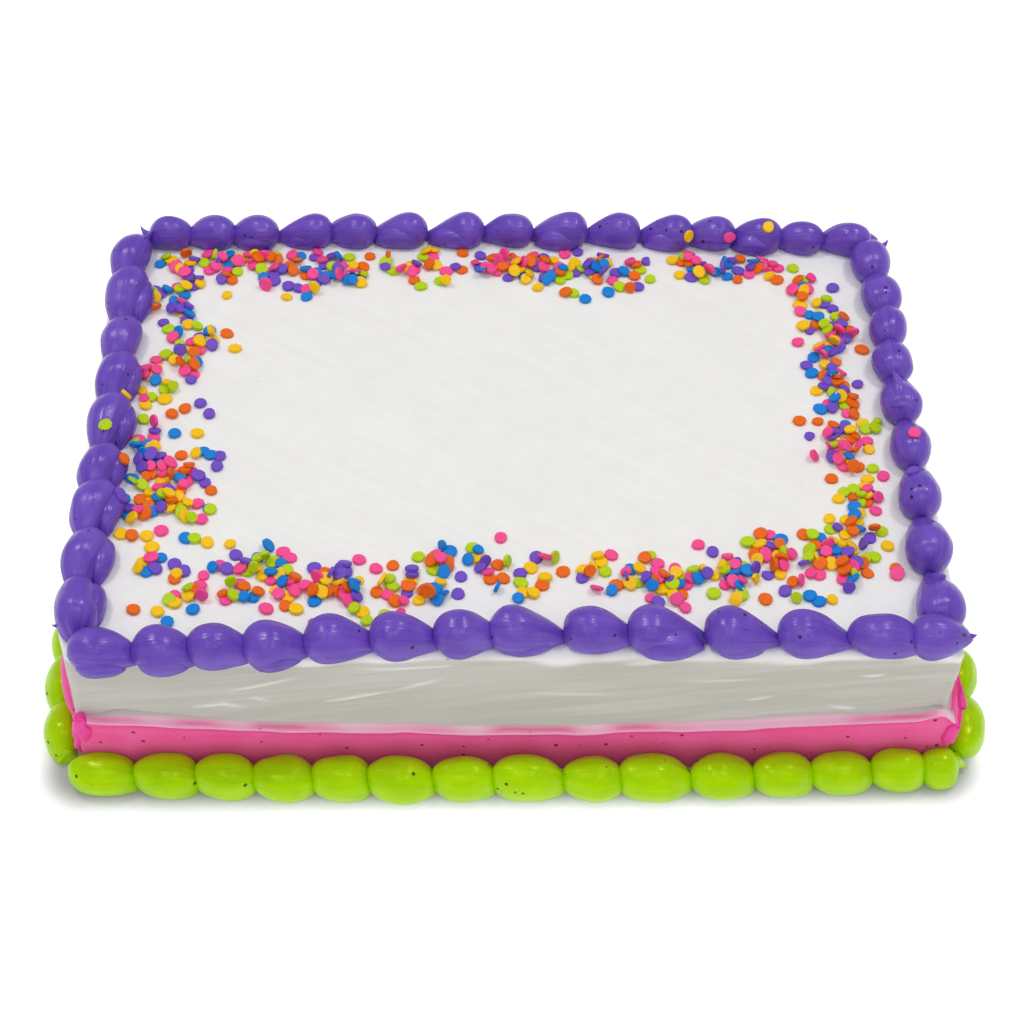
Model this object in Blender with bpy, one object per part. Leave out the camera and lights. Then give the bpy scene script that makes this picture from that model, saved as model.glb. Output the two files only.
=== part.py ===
"""A quarter sheet cake, iced white, with piped borders and confetti sprinkles.

The cake is one solid block of iced cake, with the confetti that lies flat on
its top fused to it. A flat band of pink icing runs along the foot of each wall.
A purple shell border is piped along each edge of the top, and a green one
along each side on the ground. The origin is the middle of the cake's base,
X runs along its length, the front faces -Y, and Z is up. All sizes are metres.
"""
import math

import bpy
import numpy as np

# Driving sizes of the iced block
CAKE_LENGTH = 0.330
CAKE_DEPTH = 0.236
CAKE_HEIGHT = 0.068
EDGE_ROUND = 0.003
GAP = 0.0003

# The side walls are fuller than their corners: how far they bow out at the foot
# and at the top, and how squarely the bow turns in at the corners
SIDE_BOW = {"left": (0.0038, 0.0032), "right": (0.0038, 0.0010)}
BOW_SQUARENESS = 8
BOW_STATIONS = (-1.0, -0.96, -0.88, -0.7, -0.35, 0.35, 0.7, 0.88, 0.96, 1.0)
FOOT_LEVEL = 0.034

# Pink band along the foot of the walls
BAND_THICK = 0.003
BAND_FOOT = 0.0005
BAND_LIP = 0.0008
BAND_STATIONS = 14
BAND_TOP_MIDDLE = 0.0245
BAND_TOP_ENDS = 0.033

# Cross-section of a piped shell: its widest line as a share of its height,
# and how far round its section is drawn
SHELL_BELLY = 0.40
SHELL_WRAP = math.radians(60.0)
SHELL_AROUND = 7
SHELL_UNEVEN = 0.035
CLEARANCE_GROWTH = 0.0006

# Confetti discs
QUIN_RADIUS = 0.00235
QUIN_RADIUS_SPREAD = 0.00016
QUIN_THICK = 0.00135
QUIN_SIDES = 7
QUIN_SUNK = 0.0004
QUIN_SPACING = 0.0062
QUIN_LIMIT = 142
SEED = 1511

# Colours as linear red, green and blue
WHITE_ICING = (0.86, 0.85, 0.83)
PINK_ICING = (0.72, 0.09, 0.30)
PURPLE_ICING = (0.13, 0.05, 0.46)
GREEN_ICING = (0.36, 0.68, 0.01)

# One border run on each side, in the order in which it is piped: where it
# starts, the way it goes, the way out of the cake, the power by which a shell's
# head swells, how fast one of mean length thins to its tail, how far it runs on
# under the next head, the distance of the middle line from the cake's centre at
# even steps, and the pitch of each shell. Lengths here are millimetres.
TOP_RUNS = {
    "front": {
        "start": -163.0, "along": (1, 0), "out": (0, -1),
        "rise": 0.5, "taper": 1.15, "overlap": 7.5,
        "offset": (119.5, 118.5, 113.5, 111.0, 111.0, 113.0, 115.5),
        "width": 18.0, "height": 15.0,
        "pitches": (22.8, 19.6, 20, 22.3, 23.8, 23.5, 20.4, 27.3, 23.5, 28.4, 27, 25.4, 22.7, 21),
    },
    "right": {
        "start": -111.0, "along": (0, 1), "out": (1, 0),
        "rise": 0.5, "taper": 1.05, "overlap": 7.5,
        "offset": (158.0, 157.5, 158.5, 159.0, 158.5, 160.5, 156.5),
        "width": 17.0, "height": 14.5,
        "pitches": (29, 27, 26.5, 25.3, 23.5, 20.7, 19.5, 20.7, 23),
    },
    "back": {
        "start": 160.0, "along": (-1, 0), "out": (0, 1),
        "rise": 0.5, "taper": 1.2, "overlap": 7.5,
        "offset": (107.5, 111.0, 113.5, 114.0, 113.8, 112.5, 111.0),
        "width": 14.8, "height": 13.5,
        "pitches": (20, 18.2, 20.5, 18.4, 23.3, 23.2, 23.5, 21, 25, 22, 19, 23.5, 18.6, 18.5, 20),
    },
    "left": {
        "start": 107.0, "along": (0, -1), "out": (-1, 0),
        "rise": 0.5, "taper": 0.95, "overlap": 7.5,
        "offset": (160.0, 160.0, 159.0, 160.0, 161.0, 162.5, 161.5),
        "width": 16.5, "height": 14.0,
        "pitches": (22.3, 28.2, 21.5, 25, 26, 19.7, 25.3, 24.1, 27),
    },
}
FOOT_RUNS = {
    "front": {
        "start": -170.4, "along": (1, 0), "out": (0, -1),
        "rise": 0.35, "taper": 0.3, "overlap": 7.5,
        "offset": (125.5, 128.0, 129.5, 130.0, 129.5, 128.0, 125.5),
        "width": 17.5, "height": 16.0,
        "pitches": (21.3, 23.3, 21.7, 22.5, 21.3, 25, 22.9, 26.9, 21.7, 27.6, 23.8, 22.3, 23.5, 20, 19.1),
    },
    "right": {
        "start": -120.0, "along": (0, 1), "out": (1, 0),
        "rise": 0.35, "taper": 0.3, "overlap": 7.5,
        "offset": (176.0, 179.0, 176.5, 175.0, 174.5, 174.5, 174.0),
        "width": 17.0, "height": 15.5,
        "pitches": (23.9, 22, 24, 21.5, 25, 23, 26, 22, 25, 23.6),
    },
    "back": {
        "start": 171.0, "along": (-1, 0), "out": (0, 1),
        "rise": 0.35, "taper": 0.3, "overlap": 7.5,
        "offset": (125.5, 127.5, 128.5, 129.0, 128.5, 127.5, 125.5),
        "width": 17.0, "height": 15.5,
        "pitches": (20.9, 25, 21.5, 24, 26, 22, 24.5, 23, 21, 25.5, 24, 22, 24.5, 22, 15.1),
    },
    "left": {
        "start": 122.0, "along": (0, -1), "out": (-1, 0),
        "rise": 0.35, "taper": 0.3, "overlap": 7.5,
        "offset": (174.0, 174.5, 174.5, 174.5, 175.0, 176.3, 173.5),
        "width": 17.0, "height": 15.5,
        "pitches": (21.9, 25, 22.5, 25, 24, 22.5, 25, 23, 24, 26.1),
    },
}

# How much faster a long shell thins to its tail, how fast the blunt last one
# does, and where the rings of a shell are drawn along its length
TAPER_GROWTH = 1.5
LAST_TAPER = 0.42
TOP_RINGS = (0.05, 0.20, 0.41, 0.62, 0.83)
FOOT_RINGS = (0.05, 0.25, 0.54, 0.86)

# Pinches of confetti dropped on the top: x and y in millimetres, and how many
PINCHES = (
    (-142, 96, 11), (-122, 92, 21), (-104, 96, 19), (-88, 92, 24), (-72, 91, 16),
    (-58, 95, 10), (-40, 98, 5), (-28, 96, 16), (-8, 97, 14), (8, 94, 16),
    (22, 94, 22), (38, 90, 21), (52, 93, 10), (80, 98, 13), (92, 93, 10),
    (106, 98, 12), (124, 84, 10),
    (133, 70, 13), (134, 58, 16), (136, 44, 14), (134, 28, 8), (135, 14, 14),
    (133, 0, 22), (136, -15, 21), (139, -30, 11), (134, -46, 11), (130, -60, 14),
    (128, -76, 27), (110, -76, 24), (92, -74, 18), (78, -80, 21), (62, -82, 18),
    (46, -84, 18), (28, -78, 8), (14, -76, 7), (0, -88, 4), (-14, -78, 13),
    (-30, -80, 18), (-46, -88, 18), (-64, -90, 8), (-76, -86, 26), (-90, -80, 19),
    (-104, -77, 16), (-118, -84, 11),
    (-134, -72, 10), (-144, -56, 11), (-134, -44, 22), (-130, -30, 24), (-142, -20, 16),
    (-138, -6, 11), (-144, 12, 10), (-126, 14, 4), (-146, 30, 11), (-132, 34, 7),
    (-130, 46, 21), (-134, 58, 8), (-150, 72, 14), (-138, 80, 11),
)
PINCH_SPREAD = 1.75


def clear_scene():
    """Start from an empty scene."""
    for found in list(bpy.data.objects):
        bpy.data.objects.remove(found)


def make_material(name, colour, roughness):
    """A plain icing: one colour and one roughness."""
    material = bpy.data.materials.new(name)
    material.use_nodes = True
    shader = material.node_tree.nodes["Principled BSDF"]
    shader.inputs["Base Color"].default_value = (*colour, 1.0)
    shader.inputs["Roughness"].default_value = roughness
    shader.inputs["Metallic"].default_value = 0.0
    return material


def mesh_object(name, points, faces, material=None):
    """An object in the scene from points in metres and faces of point numbers."""
    mesh = bpy.data.meshes.new(name)
    mesh.from_pydata([tuple(map(float, point)) for point in points], [], faces)
    mesh.update()
    made = bpy.data.objects.new(name, mesh)
    bpy.context.scene.collection.objects.link(made)
    if material:
        mesh.materials.append(material)
    return made


def box_faces():
    """The six faces of a box whose corners count x slowest and z fastest."""
    return [(0, 1, 3, 2), (4, 6, 7, 5), (0, 4, 5, 1), (2, 3, 7, 6), (0, 2, 6, 4), (1, 5, 7, 3)]


def block(name, low, high):
    """A plain box between two corners."""
    points = [(x, y, z) for x in (low[0], high[0]) for y in (low[1], high[1]) for z in (low[2], high[2])]
    return mesh_object(name, points, box_faces())


def apply_modifiers(target):
    """Keep the shape that the modifiers give, and drop the modifiers."""
    bpy.context.view_layer.update()
    evaluated = target.evaluated_get(bpy.context.evaluated_depsgraph_get())
    shaped = bpy.data.meshes.new_from_object(evaluated)
    target.modifiers.clear()
    target.data = shaped


def combine(target, others, operation):
    """Join other objects to a target, or cut them from it, and remove them."""
    collection = bpy.data.collections.new("operands")
    bpy.context.scene.collection.children.link(collection)
    for other in others:
        bpy.context.scene.collection.objects.unlink(other)
        collection.objects.link(other)
    boolean = target.modifiers.new("combine", "BOOLEAN")
    boolean.operation = operation
    boolean.operand_type = "COLLECTION"
    boolean.collection = collection
    boolean.solver = "EXACT"
    apply_modifiers(target)
    for other in others:
        bpy.data.objects.remove(other)
    bpy.data.collections.remove(collection)


def turn_outward(target):
    """Point every face of a closed mesh outwards, by the sign of its volume."""
    volume = 0.0
    mesh = target.data
    mesh.calc_loop_triangles()
    for triangle in mesh.loop_triangles:
        first, second, third = (mesh.vertices[index].co for index in triangle.vertices)
        volume += first.dot(second.cross(third))
    if volume < 0.0:
        mesh.flip_normals()


def closed_loft(rings, start, end):
    """Faces of a tube of equal rings that a single point closes at each end."""
    count, around = rings.shape[:2]
    points = list(rings.reshape(-1, 3)) + [start, end]
    first, last = count * around, count * around + 1
    faces = []
    for side in range(around):
        after = (side + 1) % around
        faces.append((first, after, side))
        faces.append((last, (count - 1) * around + side, (count - 1) * around + after))
        for ring in range(count - 1):
            here = ring * around
            faces.append((here + side, here + after, here + around + after, here + around + side))
    return points, faces


def side_reach(side, position, height):
    """How far a wall stands from the cake's middle, at a place along it and a height."""
    if side in ("front", "back"):
        return np.full_like(position, CAKE_DEPTH / 2)
    foot, top = SIDE_BOW[side]
    share = np.clip((height - FOOT_LEVEL) / (CAKE_HEIGHT - FOOT_LEVEL), 0.0, 1.0)
    fullness = 1.0 - np.abs(position / (CAKE_DEPTH / 2)) ** BOW_SQUARENESS
    return CAKE_LENGTH / 2 + (foot + (top - foot) * share) * np.clip(fullness, 0.0, 1.0)


def outline(height, growth):
    """The block seen from above at one height, grown outwards, anticlockwise."""
    places = np.array(BOW_STATIONS) * CAKE_DEPTH / 2
    right = np.column_stack([side_reach("right", places, height) + growth, places])
    left = np.column_stack([-side_reach("left", places, height) - growth, places])[::-1]
    around = np.concatenate([right, left])
    around[:, 1] += growth * np.sign(around[:, 1]) * (np.abs(around[:, 1]) > 0.99 * CAKE_DEPTH / 2)
    return around


def prism(name, levels):
    """A solid through one outline at each height, given as pairs of height and growth."""
    count = 2 * len(BOW_STATIONS)
    rings = [np.column_stack([outline(z, growth), np.full(count, z)]) for z, growth in levels]
    faces = [tuple(range(count - 1, -1, -1))]
    faces.append(tuple(range((len(rings) - 1) * count, len(rings) * count)))
    for level in range(len(rings) - 1):
        here = level * count
        for number in range(count):
            after = (number + 1) % count
            faces.append((here + number, here + after, here + count + after, here + count + number))
    return mesh_object(name, np.concatenate(rings), faces)


def border_offset(run, distance):
    """How far out the middle line lies: straight between offsets at even steps."""
    stations = np.linspace(0.0, sum(run["pitches"]), len(run["offset"]))
    return np.interp(distance, stations, run["offset"])


def border_point(run, distance):
    """A point of the middle line, in millimetres, seen from above."""
    along = np.array(run["along"], float)
    out = np.array(run["out"], float)
    toward = along @ np.abs(along)
    return along * (toward * run["start"] + distance) + out * border_offset(run, distance)


def border_shells(run, rings, seed):
    """Each shell of a run: its nose, heading, length, width and height."""
    draw = np.random.default_rng(seed)
    pitches = np.array(run["pitches"], float)
    starts = np.concatenate([[0.0], np.cumsum(pitches)[:-1]])
    shells = []
    for number, (start, pitch) in enumerate(zip(starts, pitches)):
        last = number == len(pitches) - 1
        length = pitch + (0.0 if last else run["overlap"])
        size = 0.80 + 0.20 * pitch / pitches.mean()
        thinning = LAST_TAPER if last else run["taper"] * (pitch / pitches.mean()) ** TAPER_GROWTH
        uneven = 1.0 + SHELL_UNEVEN * draw.uniform(-1.5, 1.5, 2)
        nose = border_point(run, start)
        heading = border_point(run, start + pitch) - nose
        shells.append({
            "nose": nose,
            "heading": heading / np.linalg.norm(heading),
            "length": length,
            "width": run["width"] * size * uneven[0],
            "height": run["height"] * size * uneven[1],
            "rise": run["rise"],
            "taper": thinning,
            "rings": rings,
        })
    return shells


def shell_radius(along, rise, taper):
    """A teardrop: a power of the distance, times a fall to the tail, at most 1."""
    fullest = rise / (rise + taper)
    peak = fullest ** rise * (1.0 - fullest) ** taper
    return along ** rise * (1.0 - along) ** taper / peak, fullest


def make_shell(name, shell, ground, growth=0.0):
    """A piped shell: a fat round head that thins to a tail lying on the ground."""
    along = np.array(shell["rings"])
    radius, fullest = shell_radius(along, shell["rise"], shell["taper"])
    grown = growth * 1000.0
    belly = SHELL_BELLY * shell["height"]
    middle = belly * np.where(along < fullest, 1.0, radius)
    angle = np.linspace(-SHELL_WRAP, math.pi + SHELL_WRAP, SHELL_AROUND)
    across = (0.5 * shell["width"] * radius + grown)[:, None] * np.cos(angle)
    rise = ((shell["height"] - belly) * radius + grown)[:, None] * np.sin(angle)
    height = middle[:, None] + rise
    heading = shell["heading"]
    out = np.array([heading[1], -heading[0]])
    forward = (along * shell["length"])[:, None, None] * heading
    flat = shell["nose"] + forward + across[:, :, None] * out
    rings = np.concatenate([flat, height[:, :, None]], axis=2)
    nose = np.append(shell["nose"] - grown * heading, belly)
    tail = shell["nose"] + (shell["length"] + grown) * heading
    tail = np.append(tail, 0.0)
    points, faces = closed_loft(rings, nose, tail)
    placed = np.array(points) / 1000.0
    placed[:, 2] += ground
    made = mesh_object(name, placed, faces)
    turn_outward(made)
    return made


def make_border(name, shells, ground, material, cutters):
    """One run of shells joined to one rope, cut flat below and by its neighbours."""
    made = [make_shell(name, shell, ground) for shell in shells]
    rope = made[0]
    rope.name = name
    combine(rope, made[1:], "UNION")
    below = block("below", (-0.3, -0.3, ground - 0.05), (0.3, 0.3, ground))
    combine(rope, [below], "DIFFERENCE")
    for cutter in cutters:
        combine(rope, [cutter], "DIFFERENCE")
    rope.data.materials.clear()
    rope.data.materials.append(material)
    return rope


def make_borders(kind, runs, rings, ground, material, walls):
    """The four runs of one border; the side runs give way at the corners."""
    shells = {}
    for number, (side, run) in enumerate(runs.items()):
        shells[side] = border_shells(run, rings, SEED + number)
    for side in runs:
        cutters = [walls()] if walls else []
        if side in ("left", "right"):
            ends = [shells[across][end] for across in ("front", "back") for end in (0, -1)]
            cutters += [make_shell("corner", end, ground, CLEARANCE_GROWTH) for end in ends]
        make_border(kind + "_" + side, shells[side], ground, material, cutters)


def band_top(position, half):
    """Height of the band's lip: lowest in the middle, rising to both corners."""
    share = np.abs(position) / half
    return BAND_TOP_MIDDLE + (BAND_TOP_ENDS - BAND_TOP_MIDDLE) * share ** 1.6


def make_band(side, half, along, out, material):
    """A flat band of icing on one wall, with a lip that stands a little proud."""
    even = side in ("front", "back")
    stations = half * (np.linspace(-1.0, 1.0, BAND_STATIONS) if even else np.array(BOW_STATIONS))
    top = band_top(stations, CAKE_LENGTH / 2)
    near = side_reach(side, stations, 0.0) + GAP
    far = near + BAND_THICK
    foot = np.full_like(stations, BAND_FOOT)
    profile = [(near, foot), (far, foot), (far, top - 4 * BAND_LIP)]
    profile += [(far + BAND_LIP, top - BAND_LIP), (near + BAND_LIP, top), (near, top)]
    rings = []
    for reach, height in profile:
        flat = stations[:, None] * np.array(along) + reach[:, None] * np.array(out)
        rings.append(np.concatenate([flat, height[:, None]], axis=1))
    rings = np.stack(rings, axis=1)
    count = len(profile)
    points = rings.reshape(-1, 3)
    faces = [tuple(range(count)), tuple(range(len(points) - 1, len(points) - 1 - count, -1))]
    for station in range(len(stations) - 1):
        here = station * count
        for number in range(count):
            after = (number + 1) % count
            faces.append((here + number, here + count + number, here + count + after, here + after))
    made = mesh_object("ribbon_" + side, points, faces, material)
    turn_outward(made)
    return made


def make_bands(material):
    """The front and back bands run past the corners, the side bands stop short."""
    past = CAKE_LENGTH / 2 + GAP + BAND_THICK + BAND_LIP
    short = CAKE_DEPTH / 2 - GAP
    make_band("front", past, (1, 0), (0, -1), material)
    make_band("back", past, (-1, 0), (0, 1), material)
    make_band("left", short, (0, -1), (-1, 0), material)
    make_band("right", short, (0, 1), (1, 0), material)


def wall_block():
    """Everything inside the outer face of the bands, with the gap they need."""
    reach = BAND_THICK + BAND_LIP + 2 * GAP
    return prism("walls", ((-0.05, reach), (FOOT_LEVEL, reach)))


def drop_quins():
    """Draw every confetti disc: x, y and radius in millimetres, pinch by pinch."""
    draw = np.random.default_rng(SEED)
    rows = []
    for x, y, count in PINCHES:
        spread = PINCH_SPREAD * math.sqrt(count)
        places = np.clip(draw.normal(0.0, 1.0, (count, 2)), -1.9, 1.9) * spread
        sizes = draw.normal(QUIN_RADIUS * 1000.0, QUIN_RADIUS_SPREAD * 1000.0, count)
        rows.append(np.column_stack([places + (x, y), sizes]))
    return np.concatenate(rows)


def clear_of_borders(quins, slack):
    """Which discs lie inside the purple borders with this much room to spare."""
    room = np.ones(len(quins), bool)
    for run in TOP_RUNS.values():
        along, out = np.array(run["along"], float), np.array(run["out"], float)
        distance = (quins[:, :2] @ along - (along @ np.abs(along)) * run["start"])
        edge = border_offset(run, distance) - 0.5 * run["width"] * 1.05
        room &= quins[:, :2] @ out < edge - quins[:, 2] - slack
    return room


def choose_quins():
    """The largest discs first, none closer to another than the spacing."""
    quins = drop_quins()
    quins = quins[clear_of_borders(quins, 0.6)]
    chosen = []
    for disc in quins[np.argsort(-quins[:, 2])]:
        apart = all(math.dist(disc[:2], other[:2]) > QUIN_SPACING * 1000.0 for other in chosen)
        if apart and len(chosen) < QUIN_LIMIT:
            chosen.append(disc)
    return chosen


def make_quin(disc, turn):
    """One confetti disc on the icing: a low prism, narrower at its top."""
    x, y, radius = disc / 1000.0
    angle = turn + np.arange(QUIN_SIDES) * 2.0 * math.pi / QUIN_SIDES
    ring = np.column_stack([np.cos(angle), np.sin(angle)])
    rows = []
    for share, height in ((1.0, -QUIN_SUNK), (0.86, QUIN_THICK - QUIN_SUNK)):
        flat = ring * radius * share + (x, y)
        rows.append(np.column_stack([flat, np.full(QUIN_SIDES, CAKE_HEIGHT + height)]))
    count = QUIN_SIDES
    faces = [tuple(range(count - 1, -1, -1)), tuple(range(count, 2 * count))]
    faces += [(n, (n + 1) % count, count + (n + 1) % count, count + n) for n in range(count)]
    return mesh_object("quin", np.concatenate(rows), faces)


def make_cake(material):
    """The iced block with rounded upper edges and the confetti fused to its top."""
    levels = [(0.0, 0.0), (FOOT_LEVEL - EDGE_ROUND, 0.0), (CAKE_HEIGHT - EDGE_ROUND, 0.0)]
    for turn in (math.radians(45.0), math.radians(90.0)):
        rise, inset = EDGE_ROUND * math.sin(turn), EDGE_ROUND * (1.0 - math.cos(turn))
        levels.append((CAKE_HEIGHT - EDGE_ROUND + rise, -inset))
    cake = prism("cake", levels)
    draw = np.random.default_rng(SEED + 50)
    quins = [make_quin(disc, draw.uniform(0.0, 2.0 * math.pi)) for disc in choose_quins()]
    combine(cake, quins, "UNION")
    cake.data.materials.clear()
    cake.data.materials.append(material)


def main():
    clear_scene()
    make_cake(make_material("white icing", WHITE_ICING, 0.5))
    make_bands(make_material("pink icing", PINK_ICING, 0.4))
    purple = make_material("purple icing", PURPLE_ICING, 0.35)
    green = make_material("green icing", GREEN_ICING, 0.35)
    make_borders("top_border", TOP_RUNS, TOP_RINGS, CAKE_HEIGHT + GAP, purple, None)
    make_borders("bottom_border", FOOT_RUNS, FOOT_RINGS, 0.0, green, wall_block)
    for shaped in bpy.data.objects:
        shaped.data.shade_smooth()
        shaped.data.set_sharp_from_angle(angle=math.radians(40.0))


main()
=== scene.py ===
# %% [markdown]
# # A sheet cake with piped borders and confetti
#
# The real object is a quarter sheet cake of about 330 by 236 mm: iced white with a spatula, with a
# band of pink icing round its walls, a purple shell border round the top, a green one round the
# foot, and pinches of confetti quins on top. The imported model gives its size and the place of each
# part, so it is loaded first and stays fixed.

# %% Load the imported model
import itertools
import math

import bpy
import numpy as np
from mathutils import Matrix, Vector


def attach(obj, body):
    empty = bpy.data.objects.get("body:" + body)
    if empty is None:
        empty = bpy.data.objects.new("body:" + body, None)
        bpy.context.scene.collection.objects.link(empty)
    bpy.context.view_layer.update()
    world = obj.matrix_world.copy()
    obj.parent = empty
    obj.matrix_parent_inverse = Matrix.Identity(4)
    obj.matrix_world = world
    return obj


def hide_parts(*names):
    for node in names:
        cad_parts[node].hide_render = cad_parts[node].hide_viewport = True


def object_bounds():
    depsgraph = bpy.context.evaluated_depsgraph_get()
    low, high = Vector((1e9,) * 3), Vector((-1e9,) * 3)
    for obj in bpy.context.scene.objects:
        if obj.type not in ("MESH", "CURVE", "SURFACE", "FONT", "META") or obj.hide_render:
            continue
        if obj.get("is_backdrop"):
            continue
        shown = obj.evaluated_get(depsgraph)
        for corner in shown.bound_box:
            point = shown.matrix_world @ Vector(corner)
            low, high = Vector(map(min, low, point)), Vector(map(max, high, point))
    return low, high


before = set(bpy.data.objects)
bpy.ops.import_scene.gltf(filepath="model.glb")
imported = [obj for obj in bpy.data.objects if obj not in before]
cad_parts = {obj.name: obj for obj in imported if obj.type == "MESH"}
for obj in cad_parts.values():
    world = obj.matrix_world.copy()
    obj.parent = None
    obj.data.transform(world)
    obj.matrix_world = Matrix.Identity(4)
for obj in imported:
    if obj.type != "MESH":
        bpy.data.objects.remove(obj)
cad_low, cad_high = (list(corner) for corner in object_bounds())
print("the packed model is", [round(1000 * (b - a), 1) for a, b in zip(cad_low, cad_high)], "mm")

# %% [markdown]
# ## The cake's own sizes
#
# The cake is described as its maker would: the block, the level of the pink band, and for each
# border where the piping starts and the pitch from one shell to the next, in millimetres. These
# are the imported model's lengths, except that the foot shells overlap less and the discs are larger,
# so each piece lands on its own solid.

# %% The iced block and its band
CAKE_LENGTH = 330.0
CAKE_DEPTH = 236.0
CAKE_HEIGHT = 68.0
EDGE_ROUND = 3.0
SIDE_BOW = {"left": (3.8, 3.2), "right": (3.8, 1.0)}
BOW_SQUARENESS = 8
FOOT_LEVEL = 34.0
BAND_THICK = 3.3
BAND_FOOT = 0.5
BAND_TOP_MIDDLE = 24.5
BAND_TOP_ENDS = 33.0
SEED = 1511

# %% The runs of piping
SIDES = {side: (np.array(along, float), np.array(out, float)) for side, along, out in (
    ("front", (1, 0), (0, -1)), ("right", (0, 1), (1, 0)),
    ("back", (-1, 0), (0, 1)), ("left", (0, -1), (-1, 0)))}

# Every run: how far a shell sways, which ones have a blunter taper, and its last shell's taper,
# extra length and share of sinking. Then the nose, the overlap and the crest of all its shells.
COMMON_FORM = {"sweep": 0.0, "blunt": {}, "end": (0.42, 0.0, 1.0)}
TOP_FORM = {**COMMON_FORM, "rise": 0.5, "overlap": 7.5, "crest": 1.0}
FOOT_FORM = {**COMMON_FORM, "rise": 0.45, "overlap": 2.4, "crest": 0.5, "taper": 0.42}
TOP_RUNS = {
    "front": {
        "start": -163.0, "width": 18.0, "height": 15.0, "taper": 1.15,
        "end": (0.85, 3.0, 0.15), "blunt": {12: 0.62},
        "offset": (119.5, 118.5, 113.5, 111.0, 111.0, 113.0, 115.5),
        "pitches": (22.8, 19.6, 20, 22.3, 23.8, 23.5, 20.4, 27.3, 23.5, 28.4, 27, 25.4, 22.7, 21),
    },
    "right": {
        "start": -111.0, "width": 17.0, "height": 14.5, "taper": 1.05,
        "offset": (158.0, 157.5, 158.5, 159.0, 158.5, 160.5, 156.5),
        "pitches": (29, 27, 26.5, 25.3, 23.5, 20.7, 19.5, 20.7, 23),
    },
    "back": {
        "start": 160.0, "width": 14.8, "height": 13.5, "taper": 1.2, "sweep": 0.6,
        "offset": (107.5, 111.0, 113.5, 114.0, 113.8, 112.5, 111.0),
        "pitches": (20, 18.2, 20.5, 18.4, 23.3, 23.2, 23.5, 21, 25, 22, 19, 23.5, 18.6, 18.5, 20),
    },
    "left": {
        "start": 107.0, "width": 16.5, "height": 14.0, "taper": 0.95, "sweep": 1.6,
        "offset": (160.0, 160.0, 159.0, 160.0, 161.0, 162.5, 161.5),
        "pitches": (22.3, 28.2, 21.5, 25, 26, 19.7, 25.3, 24.1, 27),
    },
}
FOOT_RUNS = {
    "front": {
        "start": -170.4, "width": 17.5, "height": 16.0,
        "offset": (125.5, 128.0, 129.5, 130.0, 129.5, 128.0, 125.5),
        "pitches": (24.9, 23.3, 21.7, 22.5, 21.3, 25, 22.9, 26.9, 21.7, 27.6, 23.8, 22.3, 23.5, 20, 15.5),
    },
    "right": {
        "start": -120.0, "width": 17.0, "height": 15.5,
        "offset": (176.0, 179.0, 176.5, 175.0, 174.5, 174.5, 174.0),
        "pitches": (27.5, 22, 24, 21.5, 25, 23, 26, 22, 25, 20),
    },
    "back": {
        "start": 171.0, "width": 17.0, "height": 15.5,
        "offset": (125.5, 127.5, 128.5, 129.0, 128.5, 127.5, 125.5),
        "pitches": (24.5, 25, 21.5, 24, 26, 22, 24.5, 23, 21, 25.5, 24, 22, 24.5, 22, 11.5),
    },
    "left": {
        "start": 122.0, "width": 17.0, "height": 15.5,
        "offset": (172.5, 172.5, 173.0, 173.5, 175.0, 176.3, 173.5),
        "pitches": (25.5, 25, 22.5, 25, 24, 22.5, 25, 23, 24, 22.5),
    },
}
for runs, form in ((TOP_RUNS, TOP_FORM), (FOOT_RUNS, FOOT_FORM)):
    for side, (along, out) in SIDES.items():
        runs[side] = {**form, "along": along, "out": out, **runs[side]}
print("shells on the top:", sum(len(run["pitches"]) for run in TOP_RUNS.values()))
print("shells round the foot:", sum(len(run["pitches"]) for run in FOOT_RUNS.values()))

# %% [markdown]
# ## Tools for shapes
#
# Every soft surface is a grid of points: a formula of two parameters gives them all at once, and
# neighbours are joined by four-sided faces. Icing is never quite even, so one noise function gives
# a smooth random value anywhere in space, from positions in millimetres.

# %% Smooth noise in space
def soft_noise(points, cell, seed):
    """Random numbers on the corners of cells of this size, blended smoothly between: -1 to 1."""
    table = np.random.default_rng(SEED + seed).uniform(-1.0, 1.0, (32, 32, 32))
    scaled = np.asarray(points, float) / cell
    corner = np.floor(scaled).astype(int)
    share = scaled - corner
    share = share ** 3 * (share * (share * 6.0 - 15.0) + 10.0)
    total = np.zeros(scaled.shape[:-1])
    for step in itertools.product((0, 1), repeat=3):
        weight = np.prod(np.where(step, share, 1.0 - share), axis=-1)
        number = (corner + step) % 32
        total += weight * table[number[..., 0], number[..., 1], number[..., 2]]
    return total


def bell(distance, spread):
    """One at no distance, falling to 0.37 at the spread, and to nought beyond."""
    return np.exp(-(distance / spread) ** 2)


def smooth_step(value):
    """Nought below 0, one above 1, and a smooth rise between."""
    held = np.clip(value, 0.0, 1.0)
    return held * held * (3.0 - 2.0 * held)


print("noise at three points:", soft_noise([[1, 2, 3], [4, 5, 6], [7, 8, 9]], 5.0, 0).round(2))

# %% Grids and faces
def grid_faces(rows, columns, closed=False, first=0):
    """Four-sided faces of a grid of points counted row by row; closed joins its last column to its first."""
    number = first + np.arange(rows * columns).reshape(rows, columns)
    here = number if closed else number[:, :-1]
    after = np.roll(number, -1, axis=1) if closed else number[:, 1:]
    return np.stack([here[:-1], after[:-1], after[1:], here[1:]], axis=-1).reshape(-1, 4)


def fan_faces(loop, centre):
    """Triangles from each edge of a closed loop of point numbers to one centre point."""
    return np.column_stack([loop, np.roll(loop, -1), np.full(len(loop), centre)])


def enclosed_volume(points, faces):
    """The sum of the signed volumes between the origin and each face's triangles."""
    total = 0.0
    for far in range(2, faces.shape[1]):
        a, b, c = points[faces[:, 0]], points[faces[:, far - 1]], points[faces[:, far]]
        total += np.einsum("ij,ij->", a, np.cross(b, c))
    return total


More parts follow.
